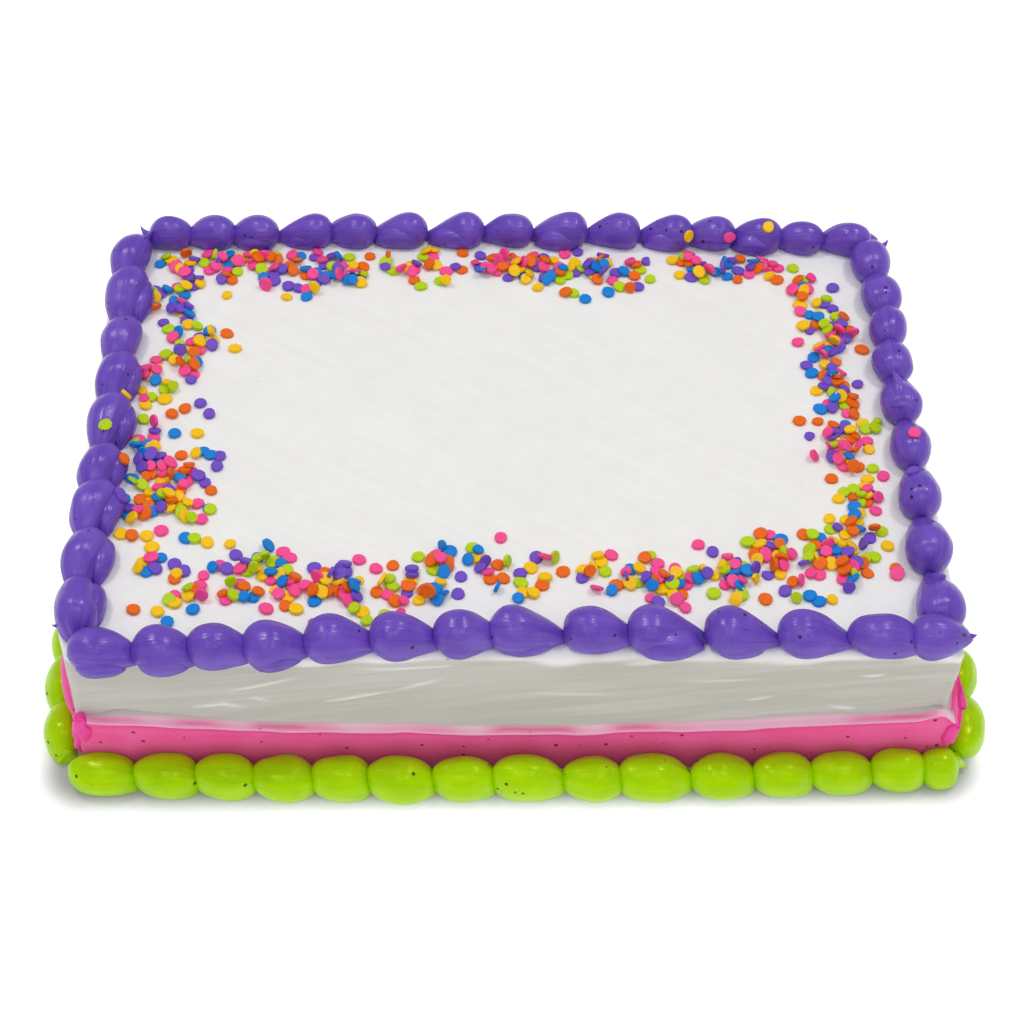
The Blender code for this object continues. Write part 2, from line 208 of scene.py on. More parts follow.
# %% Pieces of the scene
def linked(name, data):
    """A new object that shows this data in the scene."""
    made = bpy.data.objects.new(name, data)
    bpy.context.scene.collection.objects.link(made)
    return made


def mesh_piece(name, points, face_sets, attributes=None):
    """A smooth-shaded object from points in millimetres, with its faces turned outwards."""
    points = np.asarray(points, float).reshape(-1, 3)
    inside_out = sum(enclosed_volume(points, faces) for faces in face_sets) < 0.0
    faces = [face for faces in face_sets for face in (faces[:, ::-1] if inside_out else faces).tolist()]
    mesh = bpy.data.meshes.new(name)
    mesh.from_pydata((points / 1000.0).tolist(), [], faces)
    mesh.update()
    mesh.shade_smooth()
    for label, values in (attributes or {}).items():
        kind = "FLOAT" if np.ndim(values) == 1 else "FLOAT_VECTOR"
        layer = mesh.attributes.new(label, kind, "POINT")
        layer.data.foreach_set("value" if kind == "FLOAT" else "vector", np.ravel(values))
    print(name, "has", len(points), "points and", len(faces), "faces")
    return linked(name, mesh)


def hand_over(piece, material, node):
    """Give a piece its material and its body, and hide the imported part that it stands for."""
    piece.data.materials.append(material)
    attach(piece, "root")
    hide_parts(node)


# %% Closed tubes and lumps
def grid_normals(grid):
    """Outward directions of a grid of points closed round: the cross product of its two tangents."""
    across = np.roll(grid, -1, axis=1) - np.roll(grid, 1, axis=1)
    normal = np.cross(np.gradient(grid, axis=0), across)
    return normal / np.maximum(np.linalg.norm(normal, axis=-1, keepdims=True), 1e-9)


def one_body(grid, ends, **values):
    """A closed tube: its rings of points, its two end points, and values for each point of the rings."""
    return {"grid": grid, "ends": ends, "values": values}


def join_bodies(bodies):
    """Closed tubes as one set of points, faces and values. Faces that enclose a negative volume are
    turned round, and an end point takes the values found a third of the way round the ring next to it."""
    points, quads, fans, values = [], [], [], {label: [] for label in bodies[0]["values"]}
    first = 0
    for body in bodies:
        rings, around = body["grid"].shape[:2]
        count = rings * around
        here = np.concatenate([body["grid"].reshape(-1, 3), body["ends"]])
        loop = np.arange(around)
        wall = grid_faces(rings, around, True)
        caps = np.concatenate([fan_faces(loop, count)[:, ::-1], fan_faces(loop + count - around, count + 1)])
        if enclosed_volume(here, wall) + enclosed_volume(here, caps) < 0.0:
            wall, caps = wall[:, ::-1], caps[:, ::-1]
        points.append(here)
        quads.append(wall + first)
        fans.append(caps + first)
        for label, parts in values.items():
            value = np.asarray(body["values"][label], float)
            flat = value.reshape((count,) + value.shape[2:])
            third = around // 3
            parts.append(np.concatenate([flat, flat[[third, third - around]]]))
        first += count + 2
    joined = {label: np.concatenate(parts) for label, parts in values.items()}
    return np.concatenate(points), [np.concatenate(quads), np.concatenate(fans)], joined


def pulled_tip(start, bend, end, radius, fall=1.3):
    """A cone along a curve of three points, a little flat, whose radius falls by a power of the way left."""
    share = np.linspace(0.0, 1.0, 18)[:, None]
    start, bend, end = (np.array(place) for place in (start, bend, end))
    line = start * (1 - share) ** 2 + 2 * bend * share * (1 - share) + end * share ** 2
    ahead = np.gradient(line, axis=0)
    ahead /= np.linalg.norm(ahead, axis=1, keepdims=True)
    side = np.cross(ahead, (0.0, 0.0, 1.0))
    side /= np.linalg.norm(side, axis=1, keepdims=True)
    over = np.cross(side, ahead)
    angle = np.linspace(0.0, 2.0 * math.pi, 20, endpoint=False)[None, :, None]
    thick = (radius * (1.0 - share) ** fall + 0.12)[..., None]
    grid = line[:, None] + thick * (np.cos(angle) * side[:, None] + 0.8 * np.sin(angle) * over[:, None])
    return grid, np.stack([start, end])


def icing_knob(centre, radii, squareness, seed):
    """A lump: the grid of a ball whose coordinates are raised to a power below 1, which squares it,
    then stretched to its radii and made uneven by noise."""
    turn = np.linspace(0.0, math.pi, 28)[1:-1, None]
    angle = np.linspace(0.0, 2.0 * math.pi, 36, endpoint=False)[None]
    level = np.broadcast_to(np.cos(turn), (26, 36))
    ball = np.stack([np.sin(turn) * np.cos(angle), np.sin(turn) * np.sin(angle), level], axis=-1)
    ball = np.sign(ball) * np.abs(ball) ** squareness * np.array(radii)
    grid = ball * (1.0 + 0.30 * soft_noise(ball + centre, 4.0, seed))[..., None] + np.array(centre)
    return grid, np.stack([grid[0].mean(axis=0), grid[-1].mean(axis=0)])


# %% [markdown]
# ## Tools for finishes
#
# A finish is a small graph of nodes. Colours are sRGB hex values, as one would pick them from a
# picture, and one function turns them to the linear values that light is added in. Pattern sizes
# are millimetres of the real icing.

# %% Colours and nodes
def hex_colour(code):
    """An sRGB hex value as linear red, green, blue and a full alpha."""
    parts = [int(code[place:place + 2], 16) / 255.0 for place in (1, 3, 5)]
    linear = [part / 12.92 if part <= 0.04045 else ((part + 0.055) / 1.055) ** 2.4 for part in parts]
    return (*linear, 1.0)


def add_node(tree, kind, inputs, out=0, **settings):
    """One node. Each input takes a value, or another node's output, and one output is given back."""
    node = tree.nodes.new("ShaderNode" + kind)
    for label, setting in settings.items():
        setattr(node, label, setting)
    for socket, given in inputs.items():
        if isinstance(given, bpy.types.NodeSocket):
            tree.links.new(given, node.inputs[socket])
        else:
            node.inputs[socket].default_value = given
    return node.outputs[out]


def attribute(tree, label, out="Fac"):
    """A value that the mesh carries at its points."""
    return add_node(tree, "Attribute", {}, out, attribute_name=label)


def pattern(tree, where, size, detail):
    """Noise whose cells are this many millimetres wide."""
    return add_node(tree, "TexNoise", {"Vector": where, "Scale": 1000.0 / size, "Detail": detail})


def mixed(tree, share, first, second, **settings):
    """Two colours mixed, by the share of the second."""
    return add_node(tree, "Mix", {0: share, 6: first, 7: second}, 2, data_type="RGBA", **settings)


def new_material(name):
    """A material, its emptied tree, and the place of each point on its object."""
    material = bpy.data.materials.new(name)
    material.use_nodes = True
    material.node_tree.nodes.clear()
    return material, material.node_tree, add_node(material.node_tree, "TexCoord", {}, "Object")


def surface(tree, inputs):
    """The shader that a tree ends in."""
    shader = add_node(tree, "BsdfPrincipled", inputs)
    tree.links.new(shader, tree.nodes.new("ShaderNodeOutputMaterial").inputs["Surface"])


# %% [markdown]
# ## Whipped icing
#
# The icing is a stabilised whipped topping: fine foam, so light goes a little way into it and comes
# out soft, with a dull satin skin. Air bubbles at the skin leave pinholes, and piped icing keeps
# fine lines from the nozzle. One function makes all its colours, because it is all one stuff.

# %% One function for the whipped icing
def whipped_icing(name, colour, light_colour, roughness, specular, glint, holes, line_depth, tints=None):
    """Foam-soft icing: mottled between two colours, tinted by attributes, with pinholes and drawn lines."""
    material, tree, place = new_material(name)
    flow = attribute(tree, "flow", "Vector")
    drawn_out = add_node(tree, "VectorMath", {0: flow, 1: (0.05, 1.0, 1.0)}, operation="MULTIPLY")

    # Clouds of lighter and darker icing about 9 mm across, and streaks, where the colour was stirred in
    clouds, streaks = pattern(tree, place, 9.0, 3.0), pattern(tree, drawn_out, 3.0, 3.0)
    both = add_node(tree, "Math", {0: clouds, 1: streaks}, operation="ADD")
    mottle = add_node(tree, "MapRange", {"Value": both, "From Min": 0.8, "From Max": 1.25})
    base = mixed(tree, mottle, hex_colour(colour), hex_colour(light_colour))
    for label, colour_there in (tints or {}).items():
        base = mixed(tree, attribute(tree, label), base, hex_colour(colour_there))

    # Pinholes: a bubble of up to 0.9 mm radius in a few of the 3.2 mm cells, but not on walls and smears; the
    # colour in each hole is darkened, painted shade
    cells = add_node(tree, "TexVoronoi", {"Vector": place, "Scale": 1000.0 / 3.2}, voronoi_dimensions="3D")
    chance = add_node(tree, "SeparateColor", {"Color": cells.node.outputs["Color"]})
    reach = add_node(tree, "MapRange", {"Value": chance, "From Min": 1.0 - holes, "From Max": 1.0,
                                        "To Min": 0.05, "To Max": 0.29})
    depth = add_node(tree, "Math", {0: reach, 1: cells}, operation="SUBTRACT", use_clamp=True)
    hole = add_node(tree, "Math", {0: depth, 1: 14.0}, operation="MULTIPLY", use_clamp=True)
    for label in ("wall", "smear"):
        share = attribute(tree, label)
        hole = add_node(tree, "Math", {0: hole, 1: share}, operation="SUBTRACT", use_clamp=True)
    # Painted shade: the colour is darkened inside each pinhole
    dark = mixed(tree, hole, base, (0.16, 0.13, 0.16, 1.0), blend_type="MULTIPLY")

    # Fine lines along the way the icing was drawn, 0.9 mm apart and 18 mm long, over a foam grain
    lines, foam = pattern(tree, drawn_out, 0.9, 2.0), pattern(tree, place, 0.5, 2.0)
    grain = add_node(tree, "Bump", {"Height": foam, "Strength": 0.12, "Distance": 0.0001})
    drawn = add_node(tree, "Bump", {"Height": lines, "Normal": grain,
                                    "Strength": line_depth, "Distance": 0.0004})
    sunk = add_node(tree, "Bump", {"Height": hole, "Normal": drawn, "Strength": 0.8, "Distance": 0.0005},
                    invert=True)
    surface(tree, {"Base Color": dark, "Normal": sunk, "Roughness": roughness, "IOR": 1.45,
                   "Specular IOR Level": specular, "Specular Tint": hex_colour(glint),
                   "Subsurface Weight": 0.15, "Subsurface Radius": (1.0, 0.8, 0.7),
                   "Subsurface Scale": 0.0009})
    return material


# The walls' tone is painted shade: greyer than the top because the walls get less light than the top. The
# pink band's upper rows take it too.
WALL_PAINTED_SHADE = "#C3C0B6"
white_icing = whipped_icing("white whipped icing", "#F0EFED", "#F4F3F1", 0.45, 0.4, "#FFFFFF", 0.004, 0.18,
                            tints={"wall": WALL_PAINTED_SHADE, "smear": "#F9A6C6"})
# The pink's tints: foot is painted light, a paler pink low on the long bands where shade falls. Edge is a
# darker magenta, painted shade under the lip. The smear tint is pink smeared on the wall and the painted
# highlight on the lip's crest. Wall is the walls' painted shade.
pink_icing = whipped_icing("pink whipped icing", "#FF56A2", "#FF64AC", 0.34, 0.4, "#FFFFFF", 0.26, 0.25,
                           tints={"foot": "#FF6AA8", "edge": "#F431A0",
                                  "smear": "#FFCADF", "wall": WALL_PAINTED_SHADE})
purple_icing = whipped_icing("purple piped icing", "#6441B5", "#7551C3", 0.24, 0.5, "#FFFFFF", 0.15, 0.6)
green_icing = whipped_icing("green piped icing", "#A6D900", "#B4E600", 0.19, 0.6, "#F2FF6A", 0.16, 0.35)
print("icings:", white_icing.name, pink_icing.name, purple_icing.name, green_icing.name)

# %% [markdown]
# ## Confetti quins
#
# Quins are discs of pressed sugar with a waxy glaze, about 5 mm across, coloured all through. They
# are one stuff in six colours, so one function makes them.

# %% One function for the pressed sugar
def pressed_sugar(name, colour):
    """Waxy pressed sugar: a strong colour with faint speckle and a slightly rough glaze."""
    material, tree, place = new_material(name)
    speckle = pattern(tree, place, 1.2, 2.0)
    tone = add_node(tree, "MapRange", {"Value": speckle, "To Min": 0.86, "To Max": 1.1})
    shade = add_node(tree, "VectorMath", {0: hex_colour(colour)[:3], "Scale": tone}, operation="SCALE")
    rough = add_node(tree, "Bump", {"Height": speckle, "Strength": 0.25, "Distance": 0.0002})
    surface(tree, {"Base Color": shade, "Normal": rough, "Roughness": 0.5, "IOR": 1.5,
                   "Specular IOR Level": 0.3, "Subsurface Weight": 0.1, "Subsurface Scale": 0.0006})
    return material


QUIN_COLOURS = {
    "yellow": "#FFCA00", "orange": "#F26C06", "pink": "#FF4F98",
    "lime": "#BCDA00", "violet": "#7650CA", "blue": "#0084DE",
}
quin_materials = {label: pressed_sugar("confetti " + label, colour) for label, colour in QUIN_COLOURS.items()}
print("confetti colours:", ", ".join(quin_materials))

# %% [markdown]
# ## The iced block
#
# The block is iced with an offset spatula: a nearly flat top with faint passes of the blade, walls
# with long level strokes, and a thin ridge up each corner, where the blade lifts. One surface makes
# it all: a grid for the top, whose rim carries on as rings over the edge and down the walls. A point
# follows from where it is round the rim and how far its ring is grown, so noise is added to the growth.

# %% Walls and their bow
def side_reach(side, position, height):
    """A side wall's distance from the middle: the half length plus a bow that fades to the corners."""
    foot, top = SIDE_BOW[side]
    share = np.clip((height - FOOT_LEVEL) / (CAKE_HEIGHT - FOOT_LEVEL), 0.0, 1.0)
    fullness = 1.0 - np.abs(position / (CAKE_DEPTH / 2)) ** BOW_SQUARENESS
    reach = CAKE_LENGTH / 2 + (foot + (top - foot) * share) * np.clip(fullness, 0.0, 1.0)
    if side == "left":
        reach = reach + 2.2 * share * bell(position + 103.0, 9.0)
    return reach


CORNER_ROUND = {"left": 4.0, "right": 2.2}


def on_block(u, v, growth, height):
    """A point of the block: u and v run from -1 to 1, and growth moves it out from the walls. At the
    upright corners a square is pressed to a quarter circle: distances from its centre become the larger
    of their two parts."""
    half = CAKE_DEPTH / 2
    reach = np.where(u < 0.0, side_reach("left", v * half, height), side_reach("right", v * half, height))
    x, y = u * (reach + growth), v * (half + growth)
    radius = np.where(u < 0.0, CORNER_ROUND["left"], CORNER_ROUND["right"])
    over_x = np.clip(np.abs(x) - reach + radius, 0.0, None)
    over_y = np.clip(np.abs(y) - half + radius, 0.0, None)
    press = 1.0 - np.maximum(over_x, over_y) / np.maximum(np.hypot(over_x, over_y), 1e-9)
    press = np.where(over_x * over_y > 0.0, press, 0.0)
    return np.stack([x - np.sign(x) * over_x * press, y - np.sign(y) * over_y * press, height], axis=-1)


def band_top(position):
    """The height of the pink band's lip, lowest in the middle of a wall and rising to its corners."""
    share = np.abs(position) / (CAKE_LENGTH / 2)
    return BAND_TOP_MIDDLE + (BAND_TOP_ENDS - BAND_TOP_MIDDLE) * share ** 1.6


print("the left wall stands", side_reach("left", np.array([0.0]), 20.0).round(2), "mm from the middle")

# %% The top, with the passes of the spatula
COLUMNS, ROWS = 170, 120


def close_at_ends(count):
    """Numbers from -1 to 1 that lie closer near both ends: an even part and the sine of an even turn."""
    even = np.linspace(-1.0, 1.0, count + 1)
    return 0.4 * even + 0.6 * np.sin(0.5 * math.pi * even)


u_grid, v_grid = np.meshgrid(close_at_ends(COLUMNS), close_at_ends(ROWS))
flat_top = on_block(u_grid, v_grid, -EDGE_ROUND, np.full(u_grid.shape, CAKE_HEIGHT))


def turned(points, ahead, aside):
    """Points turned about the upright axis, by about the angle that has this cosine and sine."""
    return points @ np.array([[ahead, -aside, 0.0], [aside, ahead, 0.0], [0.0, 0.0, 1.0]])


def top_relief(points):
    """Broad waves 70 mm long, and shallow ridges of the blade 45 mm long and 7 mm apart."""
    passed = turned(points, 0.94, 0.34)
    waves = 0.30 * soft_noise(points, (70.0, 60.0, 50.0), 1)
    passes = 0.07 * soft_noise(passed, (45.0, 7.0, 50.0), 2)
    return waves + passes + 0.04 * soft_noise(passed, (14.0, 2.6, 50.0), 3)


top_points = flat_top.copy()
top_points[..., 2] += top_relief(flat_top) - 0.15
print("the top rises and falls by", round(float(np.ptp(top_points[..., 2])), 2), "mm")

# %% The rim of the top, as a loop of u and v
bottom, right = np.arange(0, COLUMNS), np.arange(0, ROWS)
loop_row = np.concatenate([np.zeros(COLUMNS, int), right, np.full(COLUMNS, ROWS), ROWS - right])
loop_column = np.concatenate([bottom, np.full(ROWS, COLUMNS), COLUMNS - bottom, np.zeros(ROWS, int)])
loop_u, loop_v = u_grid[loop_row, loop_column], v_grid[loop_row, loop_column]
rim = loop_row * (COLUMNS + 1) + loop_column
print("the rim has", len(rim), "points")

# %% Rings over the edge and down the walls
edge_turn = np.radians(np.linspace(15.0, 90.0, 6))
edge_levels = CAKE_HEIGHT - EDGE_ROUND * (1.0 - np.cos(edge_turn))
wall_levels = np.concatenate([np.linspace(64.5, 25.0, 80), np.linspace(23.5, 0.0, 10)])
levels = np.concatenate([edge_levels, wall_levels])
insets = np.concatenate([EDGE_ROUND * (np.sin(edge_turn) - 1.0), np.zeros(len(wall_levels))])
ring_u, ring_z = np.meshgrid(loop_u, levels)
ring_v = np.broadcast_to(loop_v, ring_u.shape)
ring_growth = np.broadcast_to(insets[:, None], ring_u.shape)
plain_rings = on_block(ring_u, ring_v, ring_growth, ring_z)


STROKES = (
    ((-108, 47), (-80, 56), 1.0), ((-74, 40), (-46, 47), 1.1), ((-46, 47), (-26, 55), 0.8),
    ((-122, 38.5), (-106, 40.5), 0.9), ((-112, 41), (-101, 38), 0.8), ((-100, 44), (-92, 41), 0.7),
    ((128, 55), (138, 56), 1.2), ((86, 40), (98, 42.5), 0.8), ((118, 37), (129, 36.2), 1.0),
    ((-60, 60), (-20, 62), 0.8), ((60, 52), (92, 53), 0.5), ((4, 45), (40, 44), 0.5),
)


def blade_strokes(points):
    """Thin ridges where the blade caught the front wall: each a bell curve round a line of x and z."""
    total = np.zeros(points.shape[:-1])
    place = points[..., [0, 2]]
    for start, end, height in STROKES:
        start = np.array(start, float)
        way = np.array(end, float) - start
        share = np.clip((place - start) @ way / (way @ way), 0.0, 1.0)
        far = np.linalg.norm(place - start - share[..., None] * way, axis=-1)
        total += height * np.sin(math.pi * np.clip(share, 0.03, 0.97)) * bell(far, 0.75)
    return total * (points[..., 1] < 0.0)


def slanted(points, slope):
    """Points raised by a share of their x, so that level strokes run up or down the wall."""
    return points + np.array([0.0, 0.0, slope]) * points[..., :1]


def corner_radius(x):
    """The radius of the upright corners on this side."""
    return np.where(x < 0.0, CORNER_ROUND["left"], CORNER_ROUND["right"])


ARC_GAP = 0.586


def wall_relief(points):
    """Level strokes 70 mm long and 4.5 mm high over broad waves, and a thin ridge up each corner."""
    tilted = slanted(points, 0.06)
    waves = 0.35 * soft_noise(points, (50.0, 50.0, 30.0), 4)
    strokes = 0.22 * soft_noise(tilted, (70.0, 70.0, 4.5), 5)
    fine = 0.10 * soft_noise(tilted, (34.0, 34.0, 1.6), 6)
    x, y = np.abs(points[..., 0]), np.abs(points[..., 1])
    off_corner = np.abs(CAKE_LENGTH / 2 - x) + np.abs(CAKE_DEPTH / 2 - y)
    apex = ARC_GAP * corner_radius(points[..., 0])
    ridge = 0.55 * bell(off_corner - apex, 1.2)
    lean = 1.3 * bell(off_corner, 7.0) * smooth_step((60.0 - points[..., 2]) / 25.0) * (points[..., 0] > 0.0)
    return waves + strokes + fine + ridge - lean + 0.5 * blade_strokes(points)


LONG_WALL = 115.0


def wall_position(points):
    """How far along its wall a point lies: its x by the two long walls, and its y elsewhere."""
    return np.where(np.abs(points[..., 1]) > LONG_WALL, points[..., 0], points[..., 1])


def swell_to_band(points):
    """The wall runs out to meet the band: by up to 1.7 mm in the middle of a long wall, less at its ends."""
    amount = 0.3 + 1.4 * smooth_step((CAKE_LENGTH / 2 - 2.0 - np.abs(points[..., 0])) / 34.0)
    return amount * smooth_step(1.0 - (points[..., 2] - band_top(wall_position(points))) / 13.0)


fade = smooth_step(ring_z / 12.0)
relief = wall_relief(plain_rings) + swell_to_band(plain_rings)
ring_points = on_block(ring_u, ring_v, ring_growth + fade * relief, ring_z)
lift = np.concatenate([np.cos(edge_turn), np.zeros(len(wall_levels))])[:, None]
ring_points[..., 2] += lift * (top_relief(plain_rings) - 0.15)
print("the walls stand up to", round(float(np.abs(ring_points[..., 0]).max()), 1), "mm from the middle")

# %% The pink drawn up from the band onto the white wall, and the walls' painted shade
above_lip = ring_z - band_top(wall_position(plain_rings))
drawn_up = 3.0 + 2.6 * soft_noise(plain_rings, (34.0, 34.0, 90.0), 7)
ring_smear = 0.50 * smooth_step(1.0 - above_lip / np.maximum(drawn_up, 1.0))
# The wall attribute is painted shade. It is nought on the top and round its edge, and rises to one down the
# walls from an uneven line about 2.6 mm under the top, so the walls come out greyer than the top.
leaning = slanted(plain_rings, -0.12)
shade_edge = 3.0 * soft_noise(leaning, (15.0, 15.0, 4.0), 8)
ring_shade = smooth_step((CAKE_HEIGHT - 2.6 - ring_z + shade_edge) / 4.0)
paler = 0.14 * soft_noise(leaning, (45.0, 45.0, 3.0), 9)
paler = paler + 0.10 * soft_noise(leaning, (25.0, 25.0, 1.3), 10)
# The shade is uneven in patches, and it is taken off along the blade strokes: a painted highlight where their
# ridges catch the light. The ridges are also in the walls' relief.
ring_shade = np.clip(ring_shade * (0.92 + paler) - 0.85 * blade_strokes(plain_rings), 0.0, 1.0)

# %% Put the block together
ring_count = len(levels)
top_count = top_points.size // 3
all_points = np.concatenate([top_points.reshape(-1, 3), ring_points.reshape(-1, 3), [[0.0, 0.0, 0.0]]])
ring_number = top_count + np.arange(ring_count * len(rim)).reshape(ring_count, -1)
shoulder = np.stack([rim, ring_number[0], np.roll(ring_number[0], -1), np.roll(rim, -1)], axis=-1)
flow = np.where(np.abs(all_points[:, 1:2]) > LONG_WALL + 0.5, all_points, all_points[:, [1, 0, 2]])
flow[:top_count] = turned(all_points, 0.82, -0.57)[:top_count]
cake_icing = mesh_piece(
    "cake_icing", all_points,
    [grid_faces(ROWS + 1, COLUMNS + 1), shoulder,
     grid_faces(ring_count, len(rim), True, top_count)[:, ::-1],
     fan_faces(ring_number[-1], len(all_points) - 1)[:, ::-1]],
    # The pink drawn up from the band, and the walls' painted shade, ride on the mesh as attributes
    {"smear": np.concatenate([np.zeros(top_count), ring_smear.ravel(), [0.0]]),
     "wall": np.concatenate([np.zeros(top_count), ring_shade.ravel(), [1.0]]),
     "flow": flow / 1000.0})
hand_over(cake_icing, white_icing, "cake")

# %% [markdown]
# ## The pink band
#
# The band is drawn along each wall with a flat nozzle and smoothed with the blade, which leaves a
# lip that rolls out a little and wanders up and down. It is one section, given as distances out of
# the wall and heights over the lip, carried along the wall and disturbed a little on the way.

# %% The section of the band
SECTION = np.array([
    [-0.6, -99], [1.2, -99], [2.9, -98.6], [3.1, -97], [3.1, -16], [3.05, -13], [3, -10], [2.95, -7.5],
    [2.95, -5.5], [3, -4], [3.05, -2.6], [3.15, -1.7], [3.5, -1.1], [3.9, -0.5], [3.95, 0.1], [3.5, 0.6],
    [2.8, 0.85], [2.3, 1.3], [1.9, 2], [1.5, 3.1], [0.9, 4.3], [-0.6, 5.6],
])
LIP = 14
NOISE_STEP = 41.0
FLARES = {"left": (2.4, -88.0, 15.0), "right": (1.2, -102.0, 14.0)}
SPANS = {"front": (-164.8, 167.8), "right": (-120.6, 120.8), "back": (-168.4, 168.4), "left": (-117.8, 120.8)}


def carry_band(side):
    """The section at each station of a wall: out by its first number, up to the lip plus its second.
    Above the lip it is squeezed down at the ends, and towards the front left corner it thins."""
    start, end = SPANS[side]
    stations = np.linspace(start, end, int(end - start) + 1)
    apart = np.full_like(stations, NOISE_STEP * list(SIDES).index(side))
    probe = np.stack([stations, apart, np.zeros_like(stations)], axis=-1)
    lip = band_top(stations) + 0.7 * soft_noise(probe, 24.0, 11) + 0.3 * soft_noise(probe, 8.0, 12)
    if side == "front":
        lip = lip + 2.2 * bell(stations - 161.0, 5.0) - 3.0 * smooth_step((stations - 163.0) / 5.0)
    room = np.minimum(stations - start, end - stations)
    squeeze = 0.08 + 0.92 * smooth_step((room - 3.0) / 15.0)
    height = lip[:, None] + np.minimum(SECTION[:, 1], 0.0) + squeeze[:, None] * np.maximum(SECTION[:, 1], 0.0)
    height = np.maximum(height, BAND_FOOT)
    height[:, :4] = BAND_FOOT + np.array([0.0, 0.0, 0.4, 1.6])
    roll = bell(SECTION[:, 1] + 1.0, 1.4)
    outward = SECTION[:, 0] + roll * (0.40 * soft_noise(probe, 14.0, 13))[:, None]
    long_wall = side in ("front", "back")
    sunk = 1.1 * smooth_step((15.0 - room) / 12.0) if long_wall else 0.9
    outward = outward - np.broadcast_to(sunk, room.shape)[:, None] * smooth_step(SECTION[:, 1] / 1.3)
    if side == "left":
        outward = outward * (1.0 - 0.78 * bell(118.0 + stations, 8.0))[:, None]
    wall = np.full_like(stations, CAKE_DEPTH / 2) if long_wall else side_reach(side, stations, 0.0)
    reach = wall[:, None] + outward
    if side in FLARES:
        size, place, spread = FLARES[side]
        flare = size * bell(stations - place, spread)
        reach = reach + flare[:, None] * smooth_step((height - 14.0) / 14.0) * (SECTION[:, 0] > 0.5)
    uneven = 0.7 * soft_noise(probe, 15.0, 15)[:, None]
    above = np.broadcast_to(SECTION[:, 1], reach.shape)
    # The lip's crest is lightened, a painted highlight. Above the lip on the long walls, pink is smeared on
    # the white, and the upper rows fade to the walls' painted shade. Just under the lip is painted shade in
    # darker magenta, which the side bands also take all over. The long bands' foot is paler: painted light
    # where shade falls between the band and the foot shells.
    lip_painted_highlight = (0.85 if long_wall else 0.3) * bell(above - 0.25, 0.55)
    tints = {"smear": np.maximum(lip_painted_highlight, (0.5 + uneven) * (above > 0.5) * long_wall),
             "wall": 0.9 * smooth_step((above - (1.3 if long_wall else 2.0) - uneven) / 1.9),
             "edge": 0.5 * bell(above + 1.7, 0.8) + (0.0 if long_wall else 0.45),
             "foot": 0.8 * smooth_step((24.0 - height) / 9.0) * long_wall}
    return stations, reach, height, tints


lip_heights = carry_band("front")[2][:, LIP]
print("the front band's lip runs from", lip_heights.min().round(1), "to", lip_heights.max().round(1), "mm")

# %% [markdown]
# At the corners the bag left more than a clean end: a folded knob at the front left, a tongue that
# hangs at the front right, and behind it a thin sliver that was drawn along the side.

# %% Four bands and what hangs at their ends
BAND_KNOBS = {
    "front": (
        ((-163.2, -120.4, 32.2), (2.9, 2.6, 4.4), 0.66), ((-162.4, -120.6, 26.4), (2.4, 2.1, 4.8), 0.74),
        ((-165.6, -118.8, 21.0), (2.2, 2.4, 8.5), 0.8), ((167.0, -120.6, 22.6), (2.6, 1.9, 5.6), 0.62)),
}
BAND_SLIVERS = {
    "right": (((172.0, -113.0, 28.0), (173.0, -106.0, 30.0), (171.8, -96.0, 31.5), 1.9),
              ((168.8, -119.0, 21.5), (171.4, -114.5, 26.0), (172.8, -105.0, 31.5), 2.3, 0.8)),
}
for side in SPANS:
    along, out = SIDES[side]
    stations, reach, height, tints = carry_band(side)
    line = stations[:, None, None] * np.abs(along)
    grid = np.concatenate([line + reach[..., None] * out, height[..., None]], axis=2)
    grain = 0.12 * soft_noise(grid, (30.0, 30.0, 3.0), 14) * (SECTION[:, 0] > 2.0)
    grid[..., :2] = line + (reach + grain)[..., None] * out
    flow = np.stack([np.broadcast_to(stations[:, None], reach.shape), reach, height], axis=-1)
    ends = np.stack([grid[0].mean(axis=0), grid[-1].mean(axis=0)])
    bodies = [one_body(grid, ends, flow=flow / 1000.0, **tints)]
    lumps = [icing_knob(*knob, 16) for knob in BAND_KNOBS.get(side, ())]
    lumps += [pulled_tip(*sliver) for sliver in BAND_SLIVERS.get(side, ())]
    # The knobs and slivers take the darker magenta all over
    for lump, ends in lumps:
        plain = np.zeros(lump.shape[:2])
        bodies.append(one_body(lump, ends, flow=lump / 1000.0, smear=plain, wall=plain,
                               edge=plain + 0.8, foot=plain))
    piece = mesh_piece("ribbon_" + side + "_icing", *join_bodies(bodies))
    hand_over(piece, pink_icing, "ribbon_" + side)

# %% [markdown]
# ## Shell borders
#
# A shell is piped by squeezing a fat round head and pulling the bag away as the pressure stops, so
# it thins to a tail, and the next head is squeezed out over that tail. So a run is a row of closed
# teardrops that pass into each other: surfaces of the distance along the shell and the angle round
# it. Gravity makes the base flat where it lies, and lets it hang where it stands out over the edge.
# %% Where each shell lies
SHELL_BELLY = 0.40
SHELL_UNEVEN = 0.035
TAPER_GROWTH = 1.5


def border_offset(run, distance):
    """How far out the middle line lies: straight between offsets at even steps along the run."""
    stations = np.linspace(0.0, sum(run["pitches"]), len(run["offset"]))
    return np.interp(distance, stations, run["offset"])


def border_point(run, distance):
    """A point of the middle line, seen from above."""
    along = run["along"]
    toward = along @ np.abs(along)
    return along * (toward * run["start"] + distance) + run["out"] * border_offset(run, distance)


